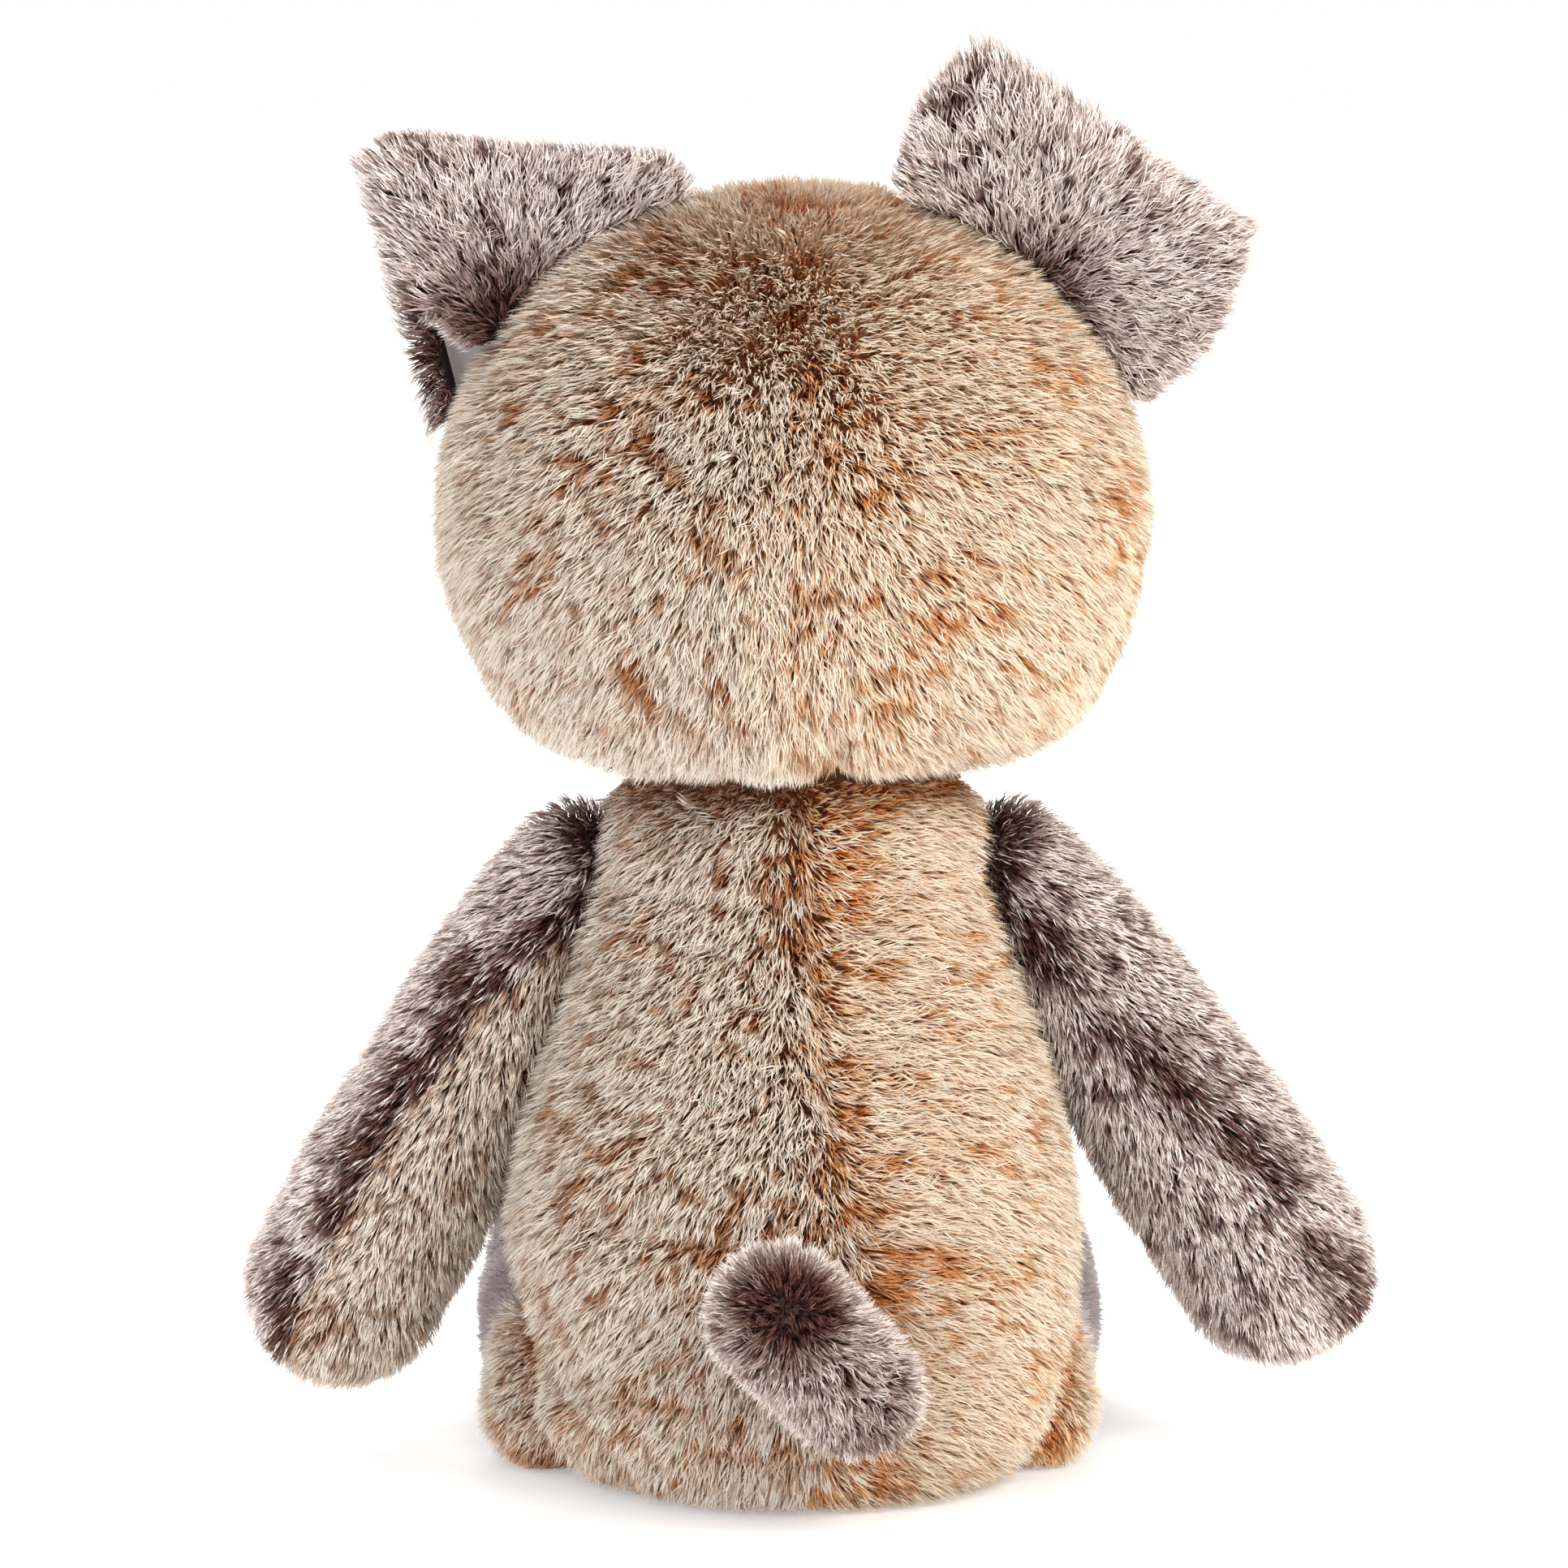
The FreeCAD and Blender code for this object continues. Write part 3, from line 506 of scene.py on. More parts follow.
def ear_sheet(side, inset, spacing=2.6):
    """The folded ear at a depth inside its furry face: points, faces and the flat cut's size in metres."""
    ear = EARS[side]
    low, high = arr(ear["fold"][0]), arr(ear["fold"][1])
    along = unit(high - low)
    outward = arr([along[1], -along[0]])
    if outward[0] * low[0] < 0:
        outward = -outward
    radius = EAR_BEND_R - inset
    turn = math.pi * radius

    def flat(points):
        """Dense points round an outline: along the fold, and outward from where the bend starts."""
        p = arr(points)
        share = np.linspace(0, 1, 12, endpoint=False)[:, None]
        dense = np.concatenate([a + (b - a) * share for a, b in zip(p, np.roll(p, -1, 0))])
        rel = dense - low
        return rel @ along, rel @ outward + EAR_BEND_R

    def unrolled(points):
        """The outline up to the outer edge of the fold, as lengths of cloth, starting and ending there."""
        a, b = flat(points)
        past = b >= EAR_BEND_R - 0.3
        first = next(i for i in range(len(a)) if past[i - 1] and not past[i])
        order = (np.arange(len(a)) + first) % len(a)
        order = order[~past[order]]
        t = np.where(b < 0, b, radius * np.arcsin(np.clip(b / EAR_BEND_R, 0, 1)))
        return [(a[order[0]], turn / 2)] + [(a[i], t[i]) for i in order] + [(a[order[-1]], turn / 2)]

    back, front = unrolled(ear["back"]), unrolled(ear["front"])
    if back[0][0] < back[-1][0]:
        back = back[::-1]
    if front[0][0] > front[-1][0]:
        front = front[::-1]
    outline = back + [(a, turn - b) for a, b in front]
    edge = []
    for i, p in enumerate(outline):
        q = outline[(i + 1) % len(outline)]
        n = max(1, int(math.dist(p, q) / spacing))
        edge += [(p[0] + (q[0] - p[0]) * k / n, p[1] + (q[1] - p[1]) * k / n) for k in range(n)]
    co = arr(edge)
    # round the corners off
    for _ in range(4):
        co = 0.5 * co + 0.25 * (np.roll(co, 1, 0) + np.roll(co, -1, 0))
    xs, ys = np.meshgrid(np.arange(co[:, 0].min(), co[:, 0].max(), spacing),
                         np.arange(co[:, 1].min(), co[:, 1].max(), spacing))
    inner = np.stack([xs.ravel() + (ys.ravel() / spacing % 2) * spacing / 2, ys.ravel()], 1)
    near = np.abs(inner[:, None] - co[None]).max(-1).min(1) < spacing * 0.6
    verts = [Vector(p) for p in np.concatenate([co, inner[~near]])]
    ring = [(i, (i + 1) % len(co)) for i in range(len(co))]
    made, _, faces, *_ = geometry.delaunay_2d_cdt(verts, ring, [list(range(len(co)))], 1, 1e-5)
    q = arr([tuple(v) for v in made])
    a, t = q[:, 0], q[:, 1]
    angle = np.clip(t / radius, 0, math.pi)
    b = np.where(t < 0, t, np.where(t > turn, turn - t, radius * np.sin(angle))) - EAR_BEND_R
    y = EAR_BACK_Y - EAR_BEND_R + radius * np.cos(angle)
    flat_xz = low + a[:, None] * along + b[:, None] * outward
    pts = np.stack([flat_xz[:, 0], y, flat_xz[:, 1]], 1)
    faces = np.asarray([f for f in faces if len(f) == 3])
    centre = pts[faces].mean(1)
    faces = faces[head_distance(centre) > 2.4]
    n = np.cross(pts[faces[:, 1]] - pts[faces[:, 0]], pts[faces[:, 2]] - pts[faces[:, 0]])
    behind = t[faces].mean(1) < 0
    if (n[behind, 1]).sum() < 0:
        faces = faces[:, ::-1]
    used = np.unique(faces)
    index = np.full(len(pts), -1)
    index[used] = np.arange(len(used))
    return pts[used], index[faces], tuple(np.ptp(q, axis=0) / 1000)


# Fur

def fur(name, body, points, normals, flow, kind, tone, length, width=0.5, lift=(85, 72, 48), clump=8,
        pull=0.4, seed=0, jitter=0.45):
    """Strands as three-segment ribbons: flow is the lie of the pile, tone from 0, pale, to 1, dark. Too many
    for one piece are split by height, and no points make no piece."""
    n = len(points)
    if n == 0:
        return
    length = np.broadcast_to(length, n)
    if n > STRANDS_IN_PIECE:
        upper = points[:, 2] > np.median(points[:, 2])
        for label, pick, more in (("upper", upper, 300), ("lower", ~upper, 0)):
            fur(f"{name}_{label}", body, points[pick], normals[pick], flow[pick], kind, tone[pick],
                length[pick], width, lift, clump, pull, seed + more, jitter)
        return
    rng = np.random.default_rng(seed)
    length = length * rng.uniform(0.82, 1.12, n) * (1 - 0.28 * np.clip(tone, 0, 1))
    lie = unit(flow - (flow * normals).sum(1, keepdims=True) * normals)
    sideways = np.cross(normals, lie)
    yaw = rng.normal(0, jitter, n)[:, None]
    lie = unit(lie * np.cos(yaw) + sideways * np.sin(yaw))
    nodes = [points]
    flatter = 11 * np.clip(normals[:, 1] + 0.35 * normals[:, 2], 0, 1)
    for k, angle in enumerate(lift):
        a = np.radians(np.clip(angle - flatter * (k > 0) + rng.normal(0, 7, n), 4, 88))[:, None]
        step = normals * np.sin(a) + lie * np.cos(a) + rng.normal(0, 0.05, (n, 3))
        nodes.append(nodes[-1] + unit(step) * (length / len(lift))[:, None])
    tree = kdtree.KDTree(max(1, n // clump))
    guides = rng.permutation(n)[: max(1, n // clump)]
    for i, g in enumerate(guides):
        tree.insert(points[g], i)
    tree.balance()
    owner = guides[np.fromiter((tree.find(p)[1] for p in points), int, n)]
    strength = (pull * rng.uniform(0.3, 1.5, n) * (0.5 + hashed(np.stack([owner] * 3, 1), seed + 5)))[:, None]
    for k in (1, 2, 3):
        s = (k / 3) ** 1.3
        nodes[k] = nodes[k] + (nodes[k][owner] - nodes[k]) * np.clip(strength * s, 0, 0.85)
    for k in (1, 2, 3):
        nodes[k][:, 2] = np.maximum(nodes[k][:, 2], 0.5)
    half = width / 2 * rng.uniform(0.75, 1.25, n)[:, None]
    verts = np.empty((n, 7, 3))
    for k in range(3):
        d = unit(nodes[k + 1] - nodes[k])
        across = unit(np.cross(d, normals))
        up = np.cross(across, d)
        roll = rng.normal(0, 0.6, n)[:, None]
        w = (across * np.cos(roll) + up * np.sin(roll)) * half * (1.0, 0.95, 0.75)[k]
        verts[:, 2 * k], verts[:, 2 * k + 1] = nodes[k] - w, nodes[k] + w
    verts[:, 6] = nodes[3]
    verts[:, :, 2] = np.maximum(verts[:, :, 2], 0.3)
    by_clump = 0.22 * (hashed(np.stack([owner] * 3, 1), seed + 9) - 0.5)
    level = np.clip(tone + by_clump + rng.normal(0, 0.12, n), 0, 0.999)
    shade = (level * TONES).astype(int)
    loops = np.array([0, 1, 3, 2, 2, 3, 5, 4, 4, 5, 6])
    all_loops = (np.arange(n)[:, None] * 7 + loops).ravel()
    starts = (np.arange(n)[:, None] * 11 + (0, 4, 8)).ravel()
    material = (shade[:, None] * 3 + (0, 1, 2)).ravel()
    me = bpy.data.meshes.new(name)
    me.vertices.add(n * 7)
    me.vertices.foreach_set("co", (verts / 1000).astype(np.float32).ravel())
    me.loops.add(n * 11)
    me.loops.foreach_set("vertex_index", all_loops.astype(np.int32))
    me.polygons.add(n * 3)
    me.polygons.foreach_set("loop_start", starts.astype(np.int32))
    for mat in FUR_MATERIALS[kind]:
        me.materials.append(mat)
    me.polygons.foreach_set("material_index", material.astype(np.int32))
    me.polygons.foreach_set("use_smooth", np.ones(n * 3, bool))
    me.update(calc_edges=True)
    ob = bpy.data.objects.new(name, me)
    scene.collection.objects.link(ob)
    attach(ob, body)


# Strands on each square mm of the rear
DENSITY = 1.9
PATCH = cloth_material("backing_cream", [(0.3, (92, 52, 30)), (0.55, (138, 86, 50)), (0.75, (176, 128, 88))],
                       90)
PATCH_GREY = cloth_material("backing_grey",
                            [(0.3, (50, 32, 30)), (0.55, (84, 62, 56)), (0.75, (120, 98, 90))], 90)
SHORT = cloth_material("short_pile_backing", [(0.3, (150, 136, 134)), (0.7, (186, 174, 172))], 120)
LINING = cloth_material("ear_lining_cloth", [(0.3, (222, 216, 218)), (0.7, (240, 236, 238))], 150, 0.15, 2500)
SEAT = cloth_material("seat_cloth_weave", [(0.3, (196, 172, 146)), (0.7, (214, 194, 170))], 200, 0.4, 2500)


# Torso

def seam_x(z):
    return np.interp(z, [0, 70, 105, 160], [-5, -12, -4.5, -1.5])


def fleck(p, seed, size=(3.6, 3.6, 3.2)):
    """Small patches where the dark roots show."""
    a = 0.62 * noise(p, size, seed) + 0.38 * noise(p, arr(size) * 0.45, seed + 2)
    b = noise(p, 15.0, seed + 1)
    return smooth(a + 0.26 * (b - 0.5), 0.58, 0.74)


def on_belly(p):
    """On the front panel, which narrows upwards."""
    half = BELLY_HALF - BELLY_TAPER * p[:, 2] / BELLY_TOP
    return (p[:, 1] < 0) & (np.abs(p[:, 0]) < half) & (p[:, 2] < BELLY_TOP)


tv, tf = torso_skin()
centres = tv[tf].mean(1)
belly = on_belly(centres)
torso = new_mesh("torso_plush", tv, tf[~belly], PATCH)
belly_panel = new_mesh("belly_plush", tv, tf[belly], PATCH)


def off_torso(p):
    ok = np.ones(len(p), bool)
    for side in ("left", "right"):
        ok &= leg_distance(p, side) > -5.5
        ok &= capsule_distance(p, *ARMS[side]) > -5.0
    ok &= capsule_distance(p, *TAIL) > -5.0
    ok &= head_distance(p) > -6.0
    return ok


def crowding_and_shade(gap):
    """How much the pile is pressed down, from 0 to 1, at a gap in mm from the next stuffed piece; the same
    amount also darkens the fur there as painted shade between the parts.
    """
    return 1 - smooth(gap, -5, 4.5)


def beside_limbs(p):
    gap = np.full(len(p), 99.0)
    for side in ("left", "right"):
        gap = np.minimum(gap, np.minimum(leg_distance(p, side), capsule_distance(p, *ARMS[side])))
    return crowding_and_shade(np.minimum(gap, head_distance(p)))


def torso_flow(p):
    x = p[:, 0] - seam_x(p[:, 2])
    left = np.stack([0.25 + 0 * x, 0 * x, -1 + 0 * x], 1)
    right = np.stack([-1 + 0 * x, 0 * x, -0.15 - 0.9 * smooth(-x, 15, 60)], 1)
    k = smooth(x, -9, 6)[:, None]
    back = left * k + right * (1 - k)
    down = arr([[0.0, 0.0, -1.0]])
    b = smooth(p[:, 1], -12, 12)[:, None]
    return back * b + down * (1 - b)


def torso_tone(p, seed=11):
    x = p[:, 0] - seam_x(p[:, 2])
    rear = p[:, 1] > 0
    right = smooth(-x, -2, 4) * rear
    spots = fleck(p, seed) * (1 - right) + fleck(p, seed, (6.5, 6.5, 2.6)) * right
    seam = np.exp(-((x + 1.5) / 5.0) ** 2) * rear
    ribs = smooth(noise(p, (16, 16, 3.4), seed + 4), 0.52, 0.78)
    ribs = ribs * np.exp(-np.maximum(-x, 0) / 22) * (x < 2) * rear
    low = 0.12 * smooth(30 - p[:, 2], 0, 25) * smooth(x, -20, 20) * rear
    t = 0.02 + 0.7 * spots + 0.3 * seam * smooth(noise(p, 4.0, seed + 6), 0.45, 0.75) + 0.45 * ribs + low
    # Painted shade: the fur along the sunk creases is darkened a little.
    return np.maximum(t, marked(p, TORSO_MARKS)) + 0.2 * marked(p, CREASES)


rng = np.random.default_rng(1)
P, N = scatter(tv, tf, DENSITY, rng, off_torso)
is_belly = on_belly(P)
for name, pick in (("torso_fur", ~is_belly), ("belly_fur", is_belly)):
    p, nn = P[pick], N[pick]
    half = p[:, 0] > seam_x(p[:, 2]) + 9 * (noise(p, 6.0, 15) - 0.5) + 7 * (rng.random(len(p)) - 0.5)
    parts = ((half, "left"), (~half, "right")) if name == "torso_fur" else ((np.ones(len(p), bool), "front"),)
    for sub, label in parts:
        pressed_and_shaded = beside_limbs(p[sub])
        # Painted shade: the left half takes the darker, greyer fur.
        kind = "ash_and_shade" if label == "left" else "cream"
        # Painted shade: the fur is darkened next to the limbs and the head, where the parts meet, as well as
        # shortened there.
        fur(f"{name}_{label}", "torso", p[sub], nn[sub], torso_flow(p[sub]), kind,
            torso_tone(p[sub]) + 0.45 * pressed_and_shaded, PILE["body"] * (1 - 0.5 * pressed_and_shaded), seed=20 + len(label))
for ob, nodes in ((torso, ("torso_cover", "torso_stuffing")), (belly_panel, ("belly_panel",))):
    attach(ob, "torso")
    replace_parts(ob, *nodes)

# Head
hv, hf = head_skin()
head = new_mesh("head_plush", hv, hf, PATCH)
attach(head, "head")
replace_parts(head, "head_cover", "muzzle_cover", "head_stuffing")


def face_clear(p):
    ok = np.ones(len(p), bool)
    for x in (-EYE_X, EYE_X):
        ok &= np.hypot(p[:, 0] - x, p[:, 2] - EYE_Z) > np.where(p[:, 1] < 0, 8.2, -1)
    nose = np.hypot(np.maximum(np.abs(p[:, 0]) - 5, 0), p[:, 2] - NOSE_Z)
    return ok & ((p[:, 1] > -60) | (nose > 6.5))


P, N = scatter(hv, hf, DENSITY, rng, lambda p: face_clear(p) & (np.linalg.norm(p - arr(NECK), axis=1) > 42))


def head_flow(p):
    x = p[:, 0] + 1.0 + 7 * (noise(p, 9.0, 29) - 0.5)
    aside = np.where(x > 0, 0.5 * smooth(x, 0, 45), -0.95 * smooth(-x, -6, 35))
    back = np.stack([aside, 0.9 * smooth(p[:, 2], 288, 309), -1 + 0 * x], 1)
    away = p - arr([0, MUZZLE[1] - 30, NOSE_Z])
    b = smooth(p[:, 1], -25, 10)[:, None]
    return unit(back) * b + unit(away) * (1 - b)


def head_tone(p, seed=31):
    x = p[:, 0] + 1.0
    rear = p[:, 1] > 0
    bend = x + 3 * (noise(p, 8.0, 30) - 0.5)
    seam = np.exp(-(bend / 2.2) ** 2) * rear * smooth(noise(p, 5.0, seed + 6), 0.45, 0.62)
    # Painted shade: the upper rear of the head is darkened a little, most on its left side.
    painted_shade_upper = 0.06 * smooth(p[:, 2], 235, 285) * smooth(x, -25, 20) * rear
    t = 0.05 + 0.74 * fleck(p, seed) + 0.4 * seam + painted_shade_upper
    # Painted shade: the fur along the sunk head creases is darkened a little.
    return np.maximum(t, marked(p, HEAD_MARKS) + 0.3 * fleck(p, seed)) + 0.2 * marked(p, HEAD_CREASES)


muzzle = np.linalg.norm(P - arr(MUZZLE), axis=1) < MUZZLE_R + 6
eye_gap = np.minimum(np.hypot(P[:, 0] - EYE_X, P[:, 2] - EYE_Z), np.hypot(P[:, 0] + EYE_X, P[:, 2] - EYE_Z))
short_face = np.where(P[:, 1] < 0, smooth(eye_gap, 8, 20), 1.0)
pile = PILE["body"] * (0.45 + 0.55 * short_face) * np.where(muzzle, 0.42, 1.0)
edge_of_half = P[:, 0] + 26 * (noise(P, 8.0, 33) - 0.5) + 26 * (rng.random(len(P)) - 0.5)
# Painted shade: the left half of the head takes the darker, greyer fur.
for label, kind, pick in (("left", "ash_and_shade", edge_of_half > 0), ("right", "cream", edge_of_half <= 0)):
    fur(f"head_fur_{label}", "head", P[pick], N[pick], head_flow(P[pick]), kind, head_tone(P[pick]),
        pile[pick], seed=40 + len(label))

# Arms

def seam_gap(p, points):
    """Distance from a seam seen from behind, and on which side of it each point lies."""
    best, side_of = np.full(len(p), 1e9), np.zeros(len(p))
    x, v = from_behind(p)
    for (x1, v1), (x2, v2) in zip(points, points[1:]):
        gap = stroke_gap(p, (x1, v1, x2, v2))
        cross = (x2 - x1) * (v - v1) - (v2 - v1) * (x - x1)
        side_of = np.where(gap < best, np.sign(cross), side_of)
        best = np.minimum(best, gap)
    return best, side_of


for side, turn in (("left", 1), ("right", -1)):
    shoulder, shoulder_r, paw, paw_r = ARMS[side]
    av, af = capsule_skin(arr(shoulder) + (-SHOULDER_IN * turn, 0, SHOULDER_UP), shoulder_r, paw, paw_r,
                          elbow_r=ELBOW_R)
    arm = new_mesh(f"arm_{side}_plush", av, af, PATCH_GREY)
    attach(arm, f"arm_{side}")
    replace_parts(arm, f"arm_{side}_cover", f"arm_{side}_stuffing")
    along = frame_of(shoulder, paw)[0]
    P, N = scatter(av, af, DENSITY * 1.1, rng, lambda p: (torso_distance(p) > -7) & (head_distance(p) > -6))
    gap, seam_side = seam_gap(P, ARM_SEAMS[side])
    outer = seam_side * turn > 0
    rear = smooth(N[:, 1], -0.1, 0.3)
    down_arm = ((P - arr(shoulder)) @ along) / np.linalg.norm(arr(paw) - arr(shoulder))
    out = arr([turn * 0.9, 0.0, -0.35])
    k = smooth(down_arm, -0.15, 0.3)[:, None]
    flow = along * k + out * (1 - k) + out * (0.45 * outer * rear)[:, None]
    ragged = 0.55 + 0.9 * noise(P, (5.0, 5.0, 7.0), 55 + turn)
    band = np.exp(-(gap / (4.6 * ragged)) ** 2) * rear * BAND[side]
    band = band * smooth(noise(P, 9.0, 57 + turn), 0.15, 0.5) * (rng.random(len(P)) > 0.2)
    pressed_and_shaded = crowding_and_shade(torso_distance(P))
    # Painted shade: the fur is darkened where the arm lies against the torso, as well as shortened there.
    tone = 0.08 + 0.55 * fleck(P, 51, (3.0, 3.0, 4.2)) + 1.0 * band + 0.6 * pressed_and_shaded
    inner = ~outer & (gap > 3.4) & (rear > 0.5) if side == "left" else np.zeros(len(P), bool)
    pile = (PILE["arm"] + PILE["arm_seam"] * band) * (1 - 0.45 * pressed_and_shaded)
    for kind, pick, label in (("grey", ~inner, "fur"), ("taupe", inner, "inner_fur")):
        fur(f"arm_{side}_{label}", f"arm_{side}", P[pick], N[pick], flow[pick], kind, tone[pick], pile[pick],
            lift=(82, 66, 42), pull=0.45, seed=60 + turn, jitter=0.28)

# Legs
for side, turn in (("left", 1), ("right", -1)):
    lv, lf = leg_skin(side)
    centre_y = lv[lf].mean(1)[:, 1]
    thigh = new_mesh(f"thigh_{side}_plush", lv, lf[centre_y > SHORT_PILE_Y], PATCH)
    foot = new_mesh(f"foot_{side}_plush", lv, lf[centre_y <= SHORT_PILE_Y], SHORT)
    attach(thigh, f"leg_{side}")
    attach(foot, f"leg_{side}")
    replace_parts(thigh, f"leg_{side}_cover", f"leg_{side}_stuffing")
    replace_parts(foot, f"foot_{side}_cover")
    P, N = scatter(lv, lf, DENSITY * 1.2, rng, lambda p: (torso_distance(p) > -6) & (p[:, 2] > 2.2))
    along = unit(arr(LEGS[side][2]) - arr(LEGS[side][0]))
    flow = along + (0, 0, -0.5)
    zone = np.digitize(-P[:, 1] + 6 * (noise(P, 5.0, 70) - 0.5), (14, -SHORT_PILE_Y))
    p = P[zone == 0]
    rear_flow = np.stack([0.5 * turn + 0 * p[:, 0], 0.2 + 0 * p[:, 0], -1 + 0 * p[:, 0]], 1)
    k = smooth(p[:, 1], -20, 5)[:, None]
    pressed_and_shaded = crowding_and_shade(torso_distance(p))
    # Painted shade: the fur is darkened where the thigh meets the torso, as well as shortened there.
    tone = np.maximum(0.04 + 0.7 * fleck(p, 71), marked(p, THIGH_MARKS)) + 0.35 * pressed_and_shaded
    # Painted shade: the left thigh takes the darker, greyer fur.
    fur(f"thigh_{side}_fur", f"leg_{side}", p, N[zone == 0], rear_flow * k + flow * (1 - k),
        "ash_and_shade" if side == "left" else "cream", tone, PILE["thigh"] * (1 - 0.5 * pressed_and_shaded), seed=72 + turn)
    for number, label in ((1, "shin"), (2, "foot")):
        p = P[zone == number]
        tone = 0.05 + 0.5 * noise(p, 8.0, 75) + 0.5 * fleck(p, 79)
        fur(f"{label}_{side}_fur", f"leg_{side}", p, N[zone == number], np.broadcast_to(flow, p.shape),
            "short", tone, PILE[label], width=0.45, seed=75 + number + 4 * turn)

# Tail
rise = arr([0, 0, 3.0])
bv, bf = capsule_skin(arr(TAIL[0]) + rise, TAIL[1] + 1.5, arr(TAIL[2]) + rise, TAIL[3] + 2.5,
                      rows=40, cols=48)
tail = new_mesh("tail_plush", bv, bf, PATCH_GREY)
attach(tail, "tail")
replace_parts(tail, "tail_cover", "tail_stuffing")
P, N = scatter(bv, bf, DENSITY * 1.3, rng, lambda p: torso_distance(p) > -4)
whorl, knot = arr([0, 99, 60]), arr([-20, 88, 27])
flow = unit(P - whorl) + 0.8 * rng.normal(0, 0.5, P.shape)
dark = 0.95 * np.exp(-(np.linalg.norm(P - whorl, axis=1) / 9.5) ** 2)
dark = np.maximum(dark, 0.8 * np.exp(-(np.linalg.norm(P - knot, axis=1) / 6.5) ** 2))
facing = 0.3 + 0.7 * smooth(N[:, 1], 0.15, 0.65)
tone = 0.1 + facing * (0.2 + 0.75 * fleck(P, 81, (3.4, 3.4, 3.4)) + dark)
fur("tail_fur", "tail", P, N, flow, "grey", tone, PILE["tail"], lift=(84, 72, 52), clump=9, pull=0.5,
    seed=82, jitter=0.5)

# Ears
for side, turn in (("left", 1), ("right", -1)):
    ev, ef, cut = ear_sheet(side, INSET)
    back = new_mesh(f"ear_{side}_back", ev, ef, PATCH_GREY)
    iv, inner_faces, inner_cut = ear_sheet(side, 7.0)
    lining = new_mesh(f"ear_{side}_inside", iv, inner_faces[:, ::-1], LINING)
    for ob, node, size, v, f in ((back, f"ear_{side}_fur", cut, ev, ef),
                                 (lining, f"ear_{side}_lining", inner_cut, iv, inner_faces)):
        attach(ob, f"ear_{side}")
        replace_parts(ob, node)
    P, N = scatter(ev, ef, DENSITY * 1.25, rng, lambda p: head_distance(p) > 1.0)
    edge_p, edge_n = border(ev, ef, DENSITY * 4, rng)
    edge_n = edge_n[head_distance(edge_p) > 5]
    edge_p = edge_p[head_distance(edge_p) > 5]
    edge_tone = 0.02 + 0.45 * fleck(edge_p, 94) + 1.2 * EAR_FRONT_TONE[side] * (edge_p[:, 1] < -2)
    fur(f"ear_{side}_edge", f"ear_{side}", edge_p, edge_n, edge_p - arr(HEAD), "grey", edge_tone,
        PILE["ear_edge"], clump=5, seed=97 + turn)
    root = arr(EAR_ROOT[side])
    flow = P - root
    flow[:, 1] = 0
    near = np.hypot(P[:, 0] - root[0], P[:, 2] - root[2])
    tone = 0.14 + 0.72 * fleck(P, 91, (3.2, 3.2, 3.2)) + 0.85 * np.exp(-(near / EAR_WHORL[side]) ** 2)
    tone = tone + EAR_FRONT_TONE[side] * (P[:, 1] < -6)
    fur(f"ear_{side}_pile", f"ear_{side}", P, N, flow, "grey", tone, PILE["ear"],
        lift=(78, 60, 36), clump=9, pull=0.5, seed=92 + turn)

# Seat
angle = np.linspace(0, 2 * math.pi, 96, endpoint=False)
rings = [np.stack([r * np.sin(angle), r * np.cos(angle), np.full(96, z)], 1)
         for r, z in ((31, 2.2), (29, 0.6), (24, 0.3), (17, 0.3), (9, 0.3), (0.5, 0.3))]
seat = new_mesh("seat_panel_cloth", np.concatenate(rings), grid_faces(len(rings), 96), SEAT)
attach(seat, "torso")
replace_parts(seat, "seat_panel")


# Soft pieces inside

def power(v, n):
    return np.sign(v) * np.abs(v) ** n


def pillow(name, body, low, high, material, pinch=0.3, crown=3.2, full=(0.5, 1.2), rows=48, cols=96):
    """A crowned cushion that fills a box, with a pinched seam round its middle. full is how blunt it is:
    small numbers fill the box's corners."""
    low, high = arr(low), arr(high)
    middle, half = (low + high) / 2, (high - low) / 2
    thin = int(np.argmin(half))
    wide = [i for i in range(3) if i != thin]
    lat = np.linspace(-math.pi / 2 + 0.01, math.pi / 2 - 0.01, rows)
    lon = np.linspace(0, 2 * math.pi, cols, endpoint=False)
    pts = np.zeros((rows, cols, 3))
    reach = np.cos(lat) ** full[0]
    pts[..., wide[0]] = reach[:, None] * power(np.cos(lon), 2 / crown)
    pts[..., wide[1]] = reach[:, None] * power(np.sin(lon), 2 / crown)
    pts[..., thin] = np.broadcast_to(power(np.sin(lat), full[1])[:, None], (rows, cols))
    edge = np.exp(-(lat / 0.16) ** 2)[:, None]
    pull_in = 1 - pinch * 0.12 * edge * (0.6 + 0.4 * np.cos(lon * 14))
    pts[..., wide[0]] *= pull_in
    pts[..., wide[1]] *= pull_in
    tips = np.zeros((2, 3))
    tips[:, thin] = (-1, 1)
    pts = middle + np.concatenate([pts.reshape(-1, 3), tips]) * half
    around = np.arange(cols)
    after = (around + 1) % cols
    last = (rows - 1) * cols
    foot = np.stack([after, around, np.full(cols, rows * cols)], 1)
    top = np.stack([last + around, last + after, np.full(cols, rows * cols + 1)], 1)
    ob = new_mesh(name, pts, [*grid_faces(rows, cols), *foot, *top], material)
    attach(ob, body)
    return ob


